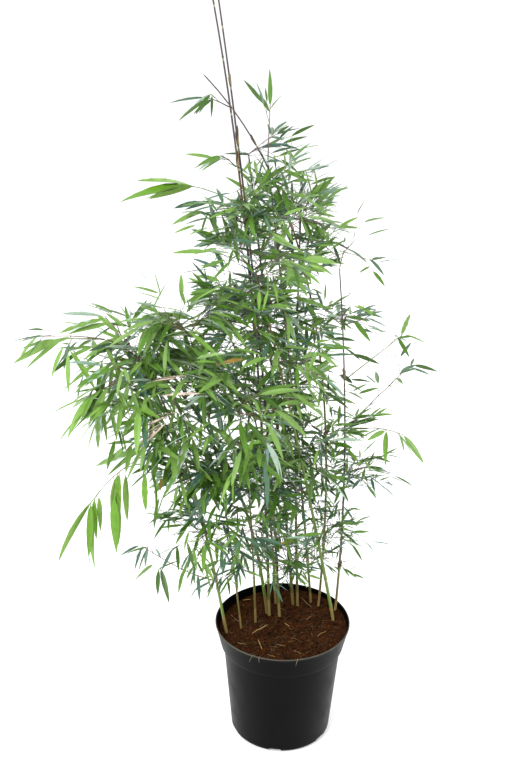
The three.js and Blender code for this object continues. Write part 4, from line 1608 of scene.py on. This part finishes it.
# Twigs and leaves

# A stem's and a twig's radius at root and tip, as shares of the twig radius in the settings
STEM_SHARES = (1.5, 0.8)
TWIG_SHARES = {1: (0.85, 0.5), 2: (0.6, 0.38)}
KNOT_SWELL = 1.35
KNOT_LENGTH = 2
STEM_SIDES = 6
TWIG_SIDES = 4
TWIG_SEED = 3000

# In each kind of light, the share of twigs that are bare, and the share that are bare or green
TWIG_TONES = {"bright": (0.2, 0.9), "open": (0.35, 0.75), "high": (0.55, 0.8), "shade": (0.45, 0.65)}


class BAMBOO_OT_twigs(Operator):
    """Adds the stems and twigs that carry the leaves"""

    bl_idname = "bamboo.twigs"
    bl_label = "Twigs"

    def execute(self, context):
        settings = context.scene.potted_bamboo.leaves
        radius = settings.twig / MM
        twigs = Gathered()
        for order, mass, growth in plant():
            draw = seeded(TWIG_SEED + order)
            self.stem(twigs, growth["points"], radius, self.tone(draw, mass))
            for twig in growth["twigs"]:
                thick, thin = (radius * share for share in TWIG_SHARES[twig["level"]])
                start, end = twig["start"], twig["end"]
                middle = (start + end) / 2 + UP * TWIG_BOW * np.linalg.norm(end - start)
                across = aim(twig["way"][0] + 90, 0)
                radii = [thick, (thick + thin) / 2, thin]
                shape = tube([start, middle, end], radii, TWIG_SIDES, across)
                twigs.add(*shape, self.tone(draw, mass))
        materials = [living_cane(f"living bamboo twig, {what}", opaque(colour)) for what, colour in (
            ("bare", settings.bare_twig), ("green", settings.green_twig), ("dark", settings.dark_twig))]
        piece = twigs.piece("twigs", materials)
        on_plant(piece, [mass["node"] for _, mass, _ in plant() if mass["node"]])
        return {"FINISHED"}

    def tone(self, draw, mass):
        """A twig's material by the light it grew in."""
        drawn = draw()
        bare, green = TWIG_TONES[mass["light"]]
        return 0 if drawn < bare else (1 if drawn < green else 2)

    def stem(self, twigs, points, radius, kind):
        """A stem with a knot at each of its joints."""
        path, radii = [points[0]], [radius * STEM_SHARES[0]]
        last = len(points) - 1
        for i in range(1, last + 1):
            here = radius * (STEM_SHARES[0] + (STEM_SHARES[1] - STEM_SHARES[0]) * i / last)
            back = unit(points[i - 1] - points[i])
            if i < last:
                path += [points[i] + back * KNOT_LENGTH, points[i], points[i] - back * KNOT_LENGTH]
                radii += [here, here * KNOT_SWELL, here]
            else:
                path.append(points[i])
                radii.append(here)
        across = np.cross(unit(points[1] - points[0]), UP)
        twigs.add(*tube(path, radii, STEM_SIDES, across), kind)


# How rough a leaf is above and below, and how strongly its veins show there
LEAF_SIDES = (("living bamboo leaf", 0.4, 0.3), ("underside of a bamboo leaf", 0.6, 0.22))

# The culms whose leaves each piece holds
LEAF_PIECES = {
    "leaves_left": ("left_edge", "left_thin", "front_lean"),
    "leaves_arch": ("left_arch", "back_lean"),
    "leaves_tall": ("tall_left", "tall_right"),
    "leaves_middle": ("centre_dark", "centre_back", "mid_lean"),
    "leaves_right": ("bowed", "right_lean", "right_edge"),
}


class BAMBOO_OT_leaves(Operator):
    """Adds the leaves in sprays at the ends of the twigs"""

    bl_idname = "bamboo.leaves"
    bl_label = "Leaves"

    def execute(self, context):
        settings = context.scene.potted_bamboo.leaves
        materials = []
        for tone in TONES:
            colours = (opaque(getattr(settings, tone)), linear(TONE_COLOURS[tone][1]))
            for colour, (side, roughness, veins) in zip(colours, LEAF_SIDES):
                materials.append(leaf_blade(f"{side}, {tone}", colour, roughness, veins))
        grown = [(growth[1], leaves_of(*growth)) for growth in plant()]
        dry_out([leaf for _, leaves in grown for leaf in leaves])
        for piece, names in LEAF_PIECES.items():
            part = [(mass, leaves) for mass, leaves in grown if mass["culm"] in names]
            nodes = [mass["node"] for mass, _ in part if mass["node"]]
            blades_here = [leaf for _, leaves in part for leaf in leaves]
            leaf_piece(piece, blades_here, nodes, settings, materials)
        return {"FINISHED"}


# Stage

# The camera's place in metres, how far it looks down and how far it is tilted aside in degrees,
# and the width of its film and its nearest and furthest sight
EYE = (-0.056, -1.906, 1.551)
LOOK_DOWN = 23.15
TILT = 0.73
FILM = 36
SIGHT = (0.05, 200)

# The floor reaches far out, so that it has no edge in any view
FLOOR_RADIUS = 60000
FLOOR_DEPTH = 20
FLOOR_SIDES = 96
ROOM_COLOUR = (0.98, 0.99, 1.0, 1.0)

# Each lamp's place and width in metres and its power in watts, and where all of them are aimed
LAMPS = (
    ("key", (-1.9, -2.6, 3.2), 2.0, 135),
    ("fill", (2.6, -1.6, 1.9), 1.8, 26),
    ("rear", (0.6, 2.8, 2.8), 2.4, 40),
    ("side", (-2.6, 0.6, 0.9), 1.2, 10),
)
AIM_AT = Vector((0, 0, 0.6))


class BAMBOO_OT_stage(Operator):
    """Adds the floor, the lamps and the camera"""

    bl_idname = "bamboo.stage"
    bl_label = "Stage"

    def execute(self, context):
        settings = context.scene.potted_bamboo.stage
        edge = [(0, -FLOOR_DEPTH), (FLOOR_RADIUS, -FLOOR_DEPTH), (FLOOR_RADIUS, 0), (0, 0)]
        points, faces = lathe(edge, FLOOR_SIDES)
        board = studio_floor("rolled matt paint on board", opaque(settings.floor))
        floor = mesh_piece("floor", points, faces, None, [board], crease=40)
        context.scene.view_settings.view_transform = "Standard"
        world = bpy.data.worlds.new("studio room")
        context.scene.world = world
        world.use_nodes = True
        backdrop = world.node_tree.nodes["Background"]
        backdrop.inputs["Color"].default_value = ROOM_COLOUR
        backdrop.inputs["Strength"].default_value = settings.sky
        for name, place, size, watts in LAMPS:
            light = bpy.data.lights.new(name, "AREA")
            light.energy, light.size, light.shape = watts * settings.lamps, size, "DISK"
            lamp = bpy.data.objects.new(f"{name}_lamp", light)
            lamp.location = place
            lamp.rotation_euler = (AIM_AT - lamp.location).to_track_quat("-Z", "Y").to_euler()
            context.scene.collection.objects.link(lamp)
        self.camera(context, settings.lens)
        return {"FINISHED"}

    def camera(self, context, lens):
        """The camera at the photograph's height, tilt and distance, level but for a small roll."""
        view = bpy.data.cameras.new("camera")
        view.lens, view.sensor_width, view.sensor_fit = lens, FILM, "AUTO"
        view.clip_start, view.clip_end = SIGHT
        holder = bpy.data.objects.new("camera", view)
        down, roll = math.radians(LOOK_DOWN), math.radians(TILT)
        forward = Vector((0, math.cos(down), -math.sin(down)))
        right, up = Vector((1, 0, 0)), Vector((0, math.sin(down), math.cos(down)))
        across = right * math.cos(roll) + up * math.sin(roll)
        above = up * math.cos(roll) - right * math.sin(roll)
        turn = Matrix((across, above, -forward)).transposed().to_4x4()
        holder.matrix_world = Matrix.Translation(EYE) @ turn
        context.scene.collection.objects.link(holder)
        context.scene.camera = holder


class BAMBOO_PT_panel(Panel):
    """Lists the pieces of the potted bamboo"""

    bl_idname = "BAMBOO_PT_panel"
    bl_label = "Potted Bamboo"
    bl_space_type = "VIEW_3D"
    bl_region_type = "UI"
    bl_category = "Plants"

    def draw(self, context):
        settings = context.scene.potted_bamboo
        for label, group, operators in (
                ("Pot", settings.pot, (BAMBOO_OT_pot,)),
                ("Soil", settings.soil, (BAMBOO_OT_soil, BAMBOO_OT_straw)),
                ("Canes", settings.canes, (BAMBOO_OT_canes,)),
                ("Foliage", settings.leaves, (BAMBOO_OT_twigs, BAMBOO_OT_leaves)),
                ("Stage", settings.stage, (BAMBOO_OT_stage,))):
            box = self.layout.box()
            box.label(text=label)
            for key in group.__annotations__:
                box.prop(group, key)
            for operator in operators:
                box.operator(operator.bl_idname)


OPERATORS = (BAMBOO_OT_pot, BAMBOO_OT_soil, BAMBOO_OT_straw, BAMBOO_OT_canes, BAMBOO_OT_twigs,
             BAMBOO_OT_leaves, BAMBOO_OT_stage)
CLASSES = (BambooPotSettings, BambooSoilSettings, BambooCaneSettings, BambooLeafSettings,
           BambooStageSettings, PottedBambooSettings, *OPERATORS, BAMBOO_PT_panel)


def register():
    for made in CLASSES:
        bpy.utils.register_class(made)
    bpy.types.Scene.potted_bamboo = PointerProperty(type=PottedBambooSettings)


def unregister():
    del bpy.types.Scene.potted_bamboo
    for made in reversed(CLASSES):
        bpy.utils.unregister_class(made)


def main():
    """Builds every piece in order."""
    register()
    for operator in OPERATORS:
        area, action = operator.bl_idname.split(".")
        done = getattr(getattr(bpy.ops, area), action)()
        if done != {"FINISHED"}:
            raise RuntimeError(f"{operator.bl_idname} didn't finish")


if __name__ == "__main__":
    main()
